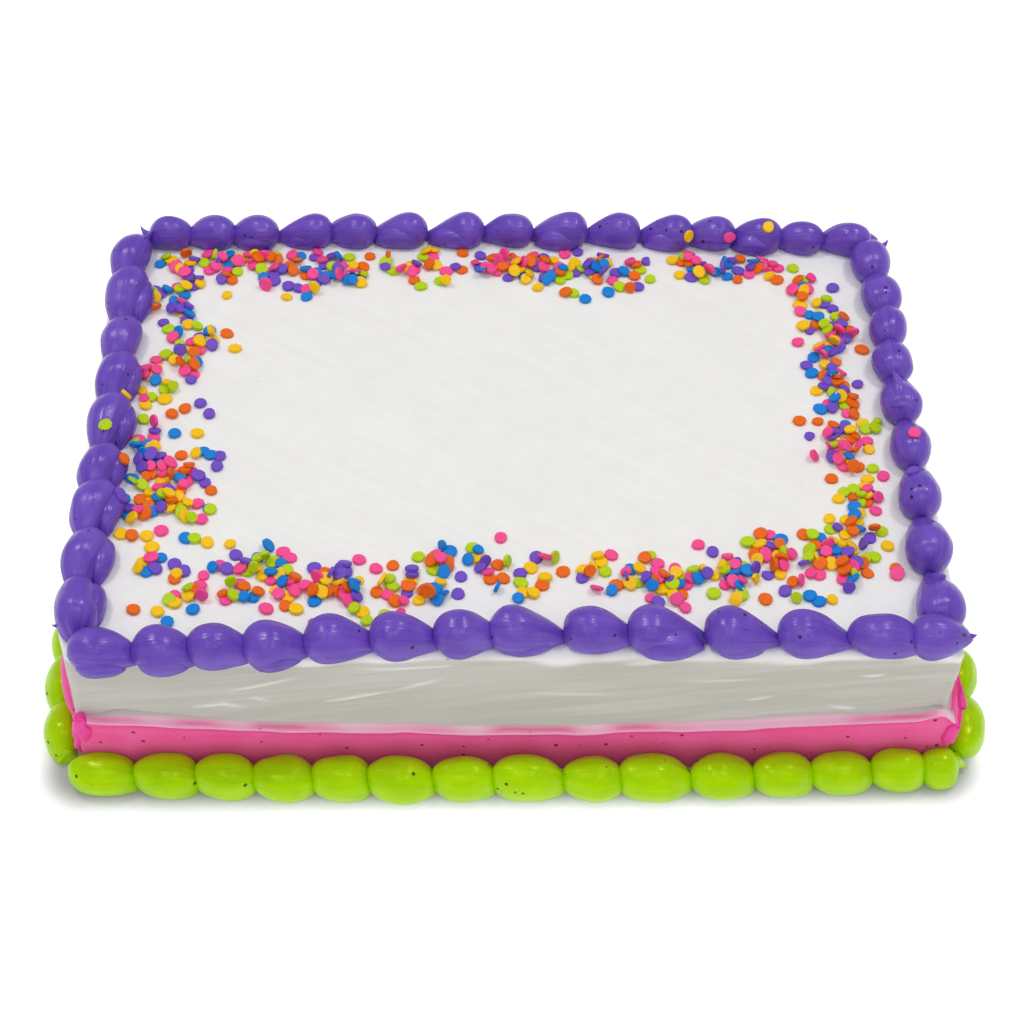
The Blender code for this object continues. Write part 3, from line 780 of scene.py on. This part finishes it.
def border_shells(run, seed):
    """Each shell of a run: nose, heading, length, width, height, and what makes its form."""
    draw = np.random.default_rng(seed)
    pitches = np.array(run["pitches"], float)
    starts = np.concatenate([[0.0], np.cumsum(pitches)[:-1]])
    end_taper, end_extra, end_sink = run["end"]
    shells = []
    for number, (start, pitch) in enumerate(zip(starts, pitches)):
        last = number == len(pitches) - 1
        usual = run["taper"] * (pitch / pitches.mean()) ** TAPER_GROWTH
        size = 0.80 + 0.20 * pitch / pitches.mean()
        uneven = 1.0 + SHELL_UNEVEN * draw.uniform(-1.5, 1.5, 2)
        nose = border_point(run, start)
        heading = border_point(run, start + pitch) - nose
        shells.append({
            "nose": nose, "heading": heading / np.linalg.norm(heading),
            "length": pitch + (end_extra if last else run["overlap"]), "sweep": 0.0 if last else run["sweep"],
            "width": run["width"] * size * uneven[0], "height": run["height"] * size * uneven[1],
            "rise": run["rise"], "crest": run["crest"], "sink": end_sink if last else 1.0,
            "taper": end_taper if last else run["blunt"].get(number, usual),
        })
    return shells


print("first purple shell:", border_shells(TOP_RUNS["front"], SEED)[0]["nose"])

# %% The surface of one shell
SHELL_RINGS, SHELL_AROUND = 60, 48


def soft_floor(height, floor, softness):
    """The height, held smoothly above a floor: a softened maximum of the two."""
    above = (height - floor) / softness
    return floor + softness * np.logaddexp(0.0, above * 2.0) / 2.0


def shell_grid(shell, seed):
    """A teardrop: its radius is a power of the distance, times a fall to the tail, at most 1.
    Its section is an ellipse round a centre that sinks with the tail; noise makes it uneven."""
    turn = np.linspace(0.0, math.pi, SHELL_RINGS + 2)[1:-1]
    along = 0.5 * (1.0 - np.cos(turn))
    rise, taper = shell["rise"], shell["taper"]
    fullest = rise / (rise + taper)
    radius = along ** rise * (1.0 - along) ** taper / (fullest ** rise * (1.0 - fullest) ** taper)
    belly = SHELL_BELLY * shell["height"]
    middle = belly * np.where(along < fullest, 1.0, 1.0 - shell["sink"] * (1.0 - radius))
    angle = np.linspace(0.0, 2.0 * math.pi, SHELL_AROUND, endpoint=False)
    sway = shell["sweep"] * (2.0 * smooth_step(along * 1.3) - 1.0)
    across = (0.5 * shell["width"] * radius)[:, None] * np.cos(angle) + sway[:, None]
    crest = np.where(np.sin(angle) > 0.0, radius[:, None] ** shell["crest"], radius[:, None])
    height = middle[:, None] + (shell["height"] - belly) * crest * np.sin(angle)
    heading = shell["heading"]
    out = np.array([heading[1], -heading[0]])
    flat = shell["nose"] + (along * shell["length"])[:, None, None] * heading + across[..., None] * out
    grid = np.concatenate([flat, height[..., None]], axis=2)
    reach = 0.5 * shell["width"]
    flow = np.stack(np.broadcast_arrays((along * shell["length"])[:, None] + 31.0 * seed,
                                        reach * np.cos(angle)[None], reach * np.sin(angle)[None]), axis=-1)
    lumps = 0.45 * soft_noise(grid + 13.0 * seed, 8.0, 20)
    lines = 0.20 * soft_noise(flow, (18.0, 2.4, 2.4), 21)
    lines += 0.08 * soft_noise(flow, (14.0, 1.1, 1.1), 22)
    lines *= (0.35 + 0.65 * smooth_step(along * 1.6))[:, None]
    grid += grid_normals(grid) * ((lumps + lines) * np.minimum(1.0, 2.5 * radius)[:, None])[..., None]
    nose = np.append(shell["nose"] + sway[0] * out, belly)
    tail = np.append(shell["nose"] + shell["length"] * heading + sway[-1] * out, middle[-1])
    return grid, nose, tail, flow


# %% How a shell rests on what carries it
def rest_on_top(points, out):
    """Flat on the top of the cake, and free to hang up to 4 mm below it beyond the wall."""
    beyond = points[..., :2] @ out - (CAKE_DEPTH / 2 if abs(out[1]) > 0.5 else CAKE_LENGTH / 2 + 2.0)
    floor = -0.45 - 3.4 * smooth_step((beyond + 0.5) / 4.0)
    points[..., 2] = soft_floor(points[..., 2], floor, 0.7) + CAKE_HEIGHT
    return points


def rest_on_ground(points, out):
    """Flat on the ground, and pressed against the face of the pink band where the wall stands."""
    points[..., 2] = np.maximum(soft_floor(points[..., 2], 0.0, 0.6), 0.0)
    front = abs(out[1]) > 0.5
    reach = points[..., :2] @ out
    place = points[..., 0] if front else points[..., 1]
    if front:
        wall, half = CAKE_DEPTH / 2 + BAND_THICK - 0.5, CAKE_LENGTH / 2 + BAND_THICK
    else:
        wall = side_reach("left" if out[0] < 0 else "right", place, 0.0) + BAND_THICK - 0.5
        half = CAKE_DEPTH / 2 + BAND_THICK
    held = soft_floor(reach, wall, 0.8)
    share = smooth_step((half - np.abs(place)) / 3.0)
    points[..., :2] += ((held - reach) * share)[..., None] * out
    return points


print("a point 5 mm out over the front edge may hang to",
      rest_on_top(np.array([[0.0, -123.0, -9.0]]), np.array([0.0, -1.0]))[0, 2].round(2))

# %% [markdown]
# A real shell isn't one clean teardrop. The first squeeze of icing bulges out to one side, so a
# smaller lobe lies against the head with a crease between the two. Where a run ends, the bag is
# pulled off and leaves a little curled tip.

# %% Side lobes and pulled tips
LOBES = {
    "front": (1.14, 0.98, 0, 0.9, 0, 0.85, 1.0, 0.85, 0, 1.0, 0.9, 0.85, 0, 0),
    "right": (-0.6, 0, -0.6, 0, -0.7, 0, -0.6, 0, -0.6),
    "back": (0, -0.9, -1.0, -0.8, -1.0, 0, -1.1, 0, -1.0, -1.1, -1.0, -0.9, -1.0, -0.9, -0.8),
    "left": (0, -1.35, 0, -1.4, -1.4, -1.3, -1.5, -1.45, -1.3),
}
TIPS = {
    "top_front": [((162.5, -114.8, 74.0), (165.5, -115.2, 73.6), (168.9, -114.8, 74.9), 3.4, 0.9)],
    "top_left": [((-164.5, -104.0, 73.5), (-168.6, -107.0, 71.0), (-170.2, -106.6, 73.0), 2.6)],
    "top_right": [((159.5, 98.0, 75.0), (164.5, 101.0, 74.5), (167.0, 104.4, 76.6), 4.4),
                  ((157.2, 1.0, 76.0), (158.2, 9.5, 82.3), (154.8, 15.4, 84.0), 4.2, 0.9)],
    "top_back": [((-152.5, 106.5, 75.5), (-155.5, 108.5, 75.5), (-157.0, 110.5, 78.3), 3.0),
                 ((151.0, 108.5, 73.5), (158.0, 110.5, 72.5), (164.4, 111.5, 69.5), 5.4, 0.5)],
    "bottom_front": [((171.0, -122.0, 6.0), (175.0, -122.0, 3.5), (177.8, -122.9, 1.6), 4.0)],
    "bottom_left": [((-173.0, -113.5, 6.5), (-174.5, -116.5, 4.0), (-175.8, -118.2, 2.4), 4.2)],
}


def side_lobe(shell, side, draw):
    """A smaller teardrop beside the head: shifted by about a third of the width and turned in."""
    heading = shell["heading"]
    out = np.array([heading[1], -heading[0]])
    size = draw.uniform(0.88, 1.08) * min(1.0, abs(side))
    turned = heading - math.copysign(0.10, side) * out
    return {
        **shell, "sweep": 0.0, "taper": 0.6, "heading": turned / np.linalg.norm(turned),
        "nose": shell["nose"] + 0.10 * shell["length"] * heading + side * 0.31 * shell["width"] * out,
        "length": 0.66 * size * shell["length"], "width": 0.60 * size * shell["width"],
        "height": 0.68 * size * shell["height"],
    }


# %% Pipe all the runs
def pipe_run(kind, side, run, seed, rest):
    """All the shells, lobes and tips of one run as one piece, with their points and normals."""
    out = run["out"]
    draw = np.random.default_rng(seed + 100)
    bodies = []
    for number, shell in enumerate(border_shells(run, seed)):
        forms = [shell]
        if kind == "top" and LOBES[side][number]:
            forms.append(side_lobe(shell, LOBES[side][number], draw))
        for form in forms:
            grid, nose, tail, flow = shell_grid(form, number + 40 * (seed - SEED))
            grid, ends = rest(grid, out), rest(np.stack([nose, tail]), out)
            bodies.append(one_body(grid, ends, flow=flow, normal=grid_normals(grid)))
    for tip in TIPS.get(kind + "_" + side, []):
        grid, ends = pulled_tip(*tip)
        bodies.append(one_body(grid, ends, flow=grid - ends[0], normal=grid_normals(grid)))
    points, face_sets, values = join_bodies(bodies)
    name = kind + "_border_" + side + "_icing"
    return mesh_piece(name, points, face_sets, {"flow": values["flow"] / 1000.0}), points, values["normal"]


piped = {"top": [], "bottom": []}
for kind, runs, rest, material, slot in (("top", TOP_RUNS, rest_on_top, purple_icing, "purple_icing"),
                                         ("bottom", FOOT_RUNS, rest_on_ground, green_icing, "green_icing")):
    for number, (side, run) in enumerate(runs.items()):
        piece, *found = pipe_run(kind, side, run, SEED + number, rest)
        hand_over(piece, material, kind + "_border_" + side)
        piped[kind].append(found)

# %% [markdown]
# ## Confetti
#
# The baker drops confetti by the pinch, all round the top. Each pinch is a small heap, thick in its
# middle and thin round it. Discs on bare icing lie flat, and those on others tilt and climb. So they
# are dropped one after another on a map of heights: each fits a plane to what lies under it, tilts
# with that plane, and then raises the map.

# %% Drop the pinches
QUIN_RADIUS, QUIN_RADIUS_SPREAD, QUIN_THICK = 2.55, 0.20, 1.45
PINCH_SPREAD = 1.75
PINCHES = (
    (-142, 96, 11), (-122, 92, 21), (-104, 96, 19), (-88, 92, 24), (-72, 91, 16),
    (-58, 95, 10), (-40, 98, 5), (-28, 96, 16), (-8, 97, 14), (8, 94, 16),
    (22, 94, 22), (38, 90, 21), (52, 93, 10), (80, 98, 13), (92, 93, 10),
    (106, 98, 12), (124, 84, 10),
    (133, 70, 13), (134, 58, 16), (136, 44, 14), (134, 28, 8), (135, 14, 14),
    (133, 0, 22), (136, -15, 21), (139, -30, 11), (134, -46, 11), (130, -60, 14),
    (128, -76, 27), (110, -76, 24), (92, -74, 18), (78, -80, 21), (62, -82, 18),
    (46, -84, 18), (28, -78, 8), (14, -76, 7), (0, -88, 4), (-14, -78, 13),
    (-30, -80, 18), (-46, -88, 18), (-64, -90, 8), (-76, -86, 26), (-90, -80, 19),
    (-104, -77, 16), (-118, -84, 11),
    (-135, -74, 9), (-145, -57, 9), (-134, -44, 25), (-131, -30, 27), (-143, -20, 13),
    (-140, -6, 6), (-146, 18, 5), (-146, 30, 11), (-132, 34, 7),
    (-130, 46, 21), (-134, 58, 8), (-150, 72, 14), (-138, 80, 11),
)


def drop_quins():
    """Every disc's x, y and radius: each pinch is a bell curve whose spread grows with its count."""
    draw = np.random.default_rng(SEED)
    rows = []
    for x, y, count in PINCHES:
        places = np.clip(draw.normal(0.0, 1.0, (count, 2)), -1.9, 1.9) * PINCH_SPREAD * math.sqrt(count)
        rows.append(np.column_stack([places + (x, y), draw.normal(QUIN_RADIUS, QUIN_RADIUS_SPREAD, count)]))
    return np.concatenate(rows)


def clear_of_borders(quins, slack):
    """Which discs lie inside the purple borders with this much room to spare."""
    room = np.ones(len(quins), bool)
    for run in TOP_RUNS.values():
        along, out = run["along"], run["out"]
        distance = quins[:, :2] @ along - (along @ np.abs(along)) * run["start"]
        edge = border_offset(run, distance) - 0.5 * run["width"] * 1.05
        room &= quins[:, :2] @ out < edge - quins[:, 2] - slack
    return room


quins = drop_quins()
quins = quins[clear_of_borders(quins, -1.2)]
chance = np.random.default_rng(SEED + 60)
quins = quins[chance.permutation(len(quins))]


def push_apart(places, radii, rounds=3):
    """Discs that overlap much slide off each other: a third of the overlap in each round."""
    for _ in range(rounds):
        gap = places[:, None] - places[None]
        distance = np.hypot(gap[..., 0], gap[..., 1]) + np.eye(len(places)) * 99.0
        overlap = np.clip(0.66 * (radii[:, None] + radii[None]) - distance, 0.0, None)
        places = places + 0.33 * np.einsum("ij,ijk->ik", overlap / np.maximum(distance, 0.3), gap)
    return places


quins[:, :2] = push_apart(quins[:, :2], quins[:, 2])
quins = quins[clear_of_borders(quins, -1.6)]
print(len(quins), "discs lie on the top")

# %% Let them settle on each other
STEP = 0.5
LIMIT = math.tan(math.radians(42.0))
map_x = np.arange(-CAKE_LENGTH / 2, CAKE_LENGTH / 2, STEP)
map_y = np.arange(-CAKE_DEPTH / 2, CAKE_DEPTH / 2, STEP)
heights = np.zeros((len(map_y), len(map_x)))
patch = np.arange(-5, 6)
patch_y, patch_x = np.meshgrid(patch * STEP, patch * STEP, indexing="ij")


def settle(x, y, radius):
    """Fit a plane to the heights under a disc, hold its slope, and rest the disc on its high points."""
    row, column = int(round((y - map_y[0]) / STEP)), int(round((x - map_x[0]) / STEP))
    rows = np.clip(row + patch, 0, len(map_y) - 1)[:, None]
    columns = np.clip(column + patch, 0, len(map_x) - 1)[None, :]
    under = heights[rows, columns]
    inside = patch_x ** 2 + patch_y ** 2 <= radius ** 2
    design = np.column_stack([patch_x[inside], patch_y[inside], np.ones(inside.sum())])
    slope = np.linalg.lstsq(design, under[inside], rcond=None)[0][:2] * 1.15
    steep = math.hypot(*slope)
    slope = slope * (LIMIT / steep if steep > LIMIT else 1.0)
    tilt = slope[0] * patch_x + slope[1] * patch_y
    lift = np.percentile((under - tilt)[inside], 80.0)
    thick = QUIN_THICK * math.sqrt(1.0 + slope @ slope)
    top = np.where(inside, np.maximum(under, lift + tilt + thick), under)
    heights[rows, columns] = top
    return lift + 0.5 * thick, slope


settled = [settle(*disc) for disc in quins]
centre_z = np.array([found[0] for found in settled])
slopes = np.array([found[1] for found in settled])
print("the highest heap stands", heights.max().round(1), "mm over the icing")

# %% [markdown]
# Some quins end up standing on their rims, a few are chipped, and some have rolled up onto the
# purple shells or strayed to the bare middle. Each disc is the same small mesh: two domed sides
# and a rounded rim.

# %% Strays and the ones on the shells
COLOURS = list(QUIN_COLOURS)
STRAYS = (
    (-5, -61, "pink"), (-59, -72, "pink"), (-52, -88, "orange"), (2, -79, "violet"), (124, 34, "violet"),
    (122, 48, "pink"), (-113, 44, "yellow"), (-88, -68, "pink"), (-116, -23, "violet"),
    (-147, 11, "yellow"), (-125, 12, "violet"), (-121, 6, "violet"), (-136, 6, "orange"), (-131, 9, "orange"),
    (-147, 3, "lime"), (-134, -5, "blue"), (-125, -5, "yellow"), (-119, -17, "blue"), (-117, -46, "lime"),
    (-120, -51, "pink"), (-122, -61, "lime"), (-117, -63, "yellow"), (-128, -81, "orange"),
    (-142, -96, "orange"), (-133, -97, "yellow"), (-127, -93, "yellow"), (-129, -102, "blue"),
    (-120, -96, "blue"),
)
ON_SHELLS = (
    (-159, -11, "lime"), (-153, 8, "yellow"), (-151, -25, "orange"), (-151, -43, "violet"),
    (-150, -45, "violet"), (115, 107, "yellow"), (81, 106, "yellow"), (99, 104, "pink"),
    (158, -19, "pink"), (155, -37, "violet"), (159, -87, "violet"),
)
shell_points, shell_normals = (np.concatenate(parts) for parts in zip(*piped["top"]))
spots, facings = [], []
for x, y, colour in ON_SHELLS:
    far = np.hypot(shell_points[:, 0] - x, shell_points[:, 1] - y)
    near = far < max(1.0, far.min() + 0.7)
    best = np.flatnonzero(near)[np.argmax(shell_points[near, 2])]
    facing = shell_normals[best] * np.sign(shell_normals[best, 2])
    facings.append(facing)
    spots.append(shell_points[best] + facing * 0.5)
print("discs on the shells:", len(spots))

# %% Every disc: centre, facing, turn and colour
stray_xy = np.array([place[:2] for place in STRAYS], float)
centres = np.concatenate([
    np.column_stack([quins[:, :2], CAKE_HEIGHT + centre_z]),
    np.column_stack([stray_xy, np.full(len(STRAYS), CAKE_HEIGHT + 0.5 * QUIN_THICK)]),
    np.array(spots)])
facing = np.concatenate([
    np.column_stack([-slopes, np.ones(len(quins))]),
    np.tile((0.0, 0.0, 1.0), (len(STRAYS), 1)), np.array(facings)])
steep = np.flatnonzero(chance.random(len(quins)) < 0.12)
lean = np.radians(chance.uniform(38.0, 80.0, len(steep)))
toward = chance.uniform(0.0, 2.0 * math.pi, len(steep))
facing[steep] = np.column_stack([np.sin(lean) * np.cos(toward), np.sin(lean) * np.sin(toward), np.cos(lean)])
centres[steep, 2] += 0.8 * QUIN_RADIUS * np.sin(lean) - 0.2
facing += np.column_stack([chance.normal(0.0, 0.05, (len(facing), 2)), np.zeros(len(facing))])
facing /= np.linalg.norm(facing, axis=1, keepdims=True)
centres[:len(quins), 2] -= 0.15
mix = chance.choice(len(COLOURS), len(quins), p=(0.17, 0.17, 0.18, 0.14, 0.17, 0.17))
colour_number = np.concatenate([mix, [COLOURS.index(colour) for _, _, colour in STRAYS + ON_SHELLS]])
radii = np.concatenate([quins[:, 2], np.full(len(STRAYS) + len(ON_SHELLS), QUIN_RADIUS)])
print("discs in all:", len(centres))

# %% The mesh of one disc, copied to every place at once
DISC_SIDES = 10
DISC_RINGS = ((0.90, -0.5), (1.0, -0.34), (1.0, 0.34), (0.90, 0.5))
disc_angle = np.arange(DISC_SIDES) * 2.0 * math.pi / DISC_SIDES
disc_ring = np.column_stack([np.cos(disc_angle), np.sin(disc_angle)])
disc_points = np.concatenate([
    np.column_stack([disc_ring * share, np.full(DISC_SIDES, height)]) for share, height in DISC_RINGS]
    + [np.array([[0.0, 0.0, -0.54], [0.0, 0.0, 0.54]])])
disc_quads = grid_faces(len(DISC_RINGS), DISC_SIDES, True)
disc_caps = np.concatenate([
    fan_faces(np.arange(DISC_SIDES), 4 * DISC_SIDES)[:, ::-1],
    fan_faces(np.arange(3 * DISC_SIDES, 4 * DISC_SIDES), 4 * DISC_SIDES + 1)])


def disc_places(chosen):
    """Each disc's own axes from its facing and turn, then all points of all discs in one product."""
    up = facing[chosen]
    side = np.cross(up, np.array([0.31, 0.95, 0.02]))
    side /= np.linalg.norm(side, axis=1, keepdims=True)
    other = np.cross(up, side)
    spin = spins[chosen][:, None]
    first, second = side * np.cos(spin) + other * np.sin(spin), other * np.cos(spin) - side * np.sin(spin)
    axes = np.stack([first, second, up], axis=1)
    size = np.column_stack([radii[chosen] * stretch[chosen], radii[chosen] / stretch[chosen],
                            QUIN_THICK * thickness[chosen]])
    local = disc_points[None] * size[:, None, :]
    bitten = (chips[chosen] > 0.94)[:, None] & (local[..., 0] > 0.55 * radii[chosen][:, None])
    local[..., 0] = np.where(bitten, 0.55 * radii[chosen][:, None], local[..., 0])
    angle = np.arctan2(disc_points[:, 1], disc_points[:, 0])[None]
    first, second = phases[chosen, :1], phases[chosen, 1:]
    uneven = 1.0 + 0.045 * np.cos(2.0 * angle + first) + 0.03 * np.cos(3.0 * angle + second)
    local[..., :2] *= uneven[..., None]
    return np.einsum("nij,njk->nik", local, axes) + centres[chosen][:, None, :]


spins = chance.uniform(0.0, 2.0 * math.pi, len(centres))
stretch = chance.normal(1.0, 0.035, len(centres))
thickness = chance.normal(1.0, 0.08, len(centres))
chips = chance.random(len(centres))
phases = chance.uniform(0.0, 2.0 * math.pi, (len(centres), 2))
for number, label in enumerate(COLOURS):
    chosen = np.flatnonzero(colour_number == number)
    points = disc_places(chosen)
    shift = (np.arange(len(chosen)) * len(disc_points))[:, None, None]
    piece = mesh_piece("quins_" + label, points, [(disc_quads[None] + shift).reshape(-1, 4),
                                                  (disc_caps[None] + shift).reshape(-1, 3)])
    piece.data.set_sharp_from_angle(angle=math.radians(35.0))
    hand_over(piece, quin_materials[label], "cake")

# %% [markdown]
# ## Floor, camera and light
#
# The cake stands on plain white and is lit as for a catalogue: two soft boxes above it draw the
# pair of highlights on each shell, two lower ones and a wide fill light its front, and all round
# is white. The floor glows, so that it comes out white, but its glow is dimmed within a few
# millimetres of the foot: a painted shadow round the foot, over the real contact shadow.

# %% The floor
# The glow rises between two distances from a rectangle inside the foot, all of them in metres; the dimmer
# glow near the foot is a painted shadow
FLOOR_HALF = 6.0
SHADOW_CORE = (0.163, 0.119, 0.0)
SHADOW_END = {"From Min": 0.011, "From Max": 0.0235, "To Min": 0.10, "To Max": 0.80}
floor_mesh = bpy.data.meshes.new("floor")
corners = [(FLOOR_HALF * x, FLOOR_HALF * y, 0.0) for x, y in ((-1, -1), (1, -1), (1, 1), (-1, 1))]
floor_mesh.from_pydata(corners, [], [(0, 1, 2, 3)])
paper, tree, place = new_material("white paper")
plus = add_node(tree, "VectorMath", {0: place}, operation="ABSOLUTE")
off_core = add_node(tree, "VectorMath", {0: plus, 1: SHADOW_CORE}, operation="SUBTRACT")
outside = add_node(tree, "VectorMath", {0: off_core, 1: (0.0, 0.0, 0.0)}, operation="MAXIMUM")
distance = add_node(tree, "VectorMath", {0: outside}, "Value", operation="LENGTH")
# Painted shadow: the floor's glow is dimmed near the foot
glow = add_node(tree, "MapRange", {"Value": distance, **SHADOW_END}, interpolation_type="SMOOTHSTEP")
surface(tree, {"Base Color": hex_colour("#ABABAB"), "Roughness": 0.9, "Specular IOR Level": 0.0,
               "Emission Color": (1.0, 1.0, 1.0, 1.0), "Emission Strength": glow})
floor_mesh.materials.append(paper)
linked("floor", floor_mesh)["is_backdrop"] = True

# %% The camera, where the photographer stood
CAMERA_PLACE = (-0.0290, -0.6092, 0.6902)
CAMERA_TURNS = ((-2.92, "Z"), (42.13, "X"), (2.04, "Z"))
camera_data = bpy.data.cameras.new("camera")
camera_data.lens = 75.97
camera_data.sensor_width = 36.0
camera_data.clip_start = 0.05
camera_data.clip_end = 50.0
camera = linked("camera", camera_data)
first, second, third = (Matrix.Rotation(math.radians(turn), 4, axis) for turn, axis in CAMERA_TURNS)
camera.matrix_world = Matrix.Translation(CAMERA_PLACE) @ (first @ second) @ third
bpy.context.scene.camera = camera

# %% Soft boxes, a fill and a white surround
def soft_box(name, azimuth, elevation, distance, size, power):
    """A square lamp aimed at the cake from a compass direction and a height."""
    lamp = bpy.data.lights.new(name, "AREA")
    lamp.shape, lamp.size, lamp.energy = "SQUARE", size, power
    azimuth, elevation = math.radians(azimuth), math.radians(elevation)
    level = math.cos(elevation)
    way = Vector((level * math.sin(azimuth), level * math.cos(azimuth), math.sin(elevation)))
    held = linked(name, lamp)
    held.location = way * distance + Vector((0.0, 0.0, 0.05))
    held.rotation_euler = way.to_track_quat("Z", "Y").to_euler()


for side, sign in (("left", -1), ("right", 1)):
    soft_box("soft box " + side, sign * 75.0, 66.0, 1.5, 0.26, 4.3)
    soft_box("low box " + side, sign * 155.0, 56.0, 1.6, 0.30, 1.2)
soft_box("front fill", 180.0, 52.0, 2.2, 1.4, 3.0)
surround = bpy.data.worlds.new("white surround")
surround.use_nodes = True
background = surround.node_tree.nodes["Background"].inputs
background["Color"].default_value = (1.0, 1.0, 1.0, 1.0)
background["Strength"].default_value = 0.48
bpy.context.scene.world = surround
bpy.context.scene.view_settings.view_transform = "Standard"

# %% Print the imported and the visual boxes
low, high = (list(corner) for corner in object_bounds())
boxes = [[round(1000 * v, 1) for v in corner] for corner in (cad_low, cad_high, low, high)]
print("CAD and visual boxes in mm:", boxes)
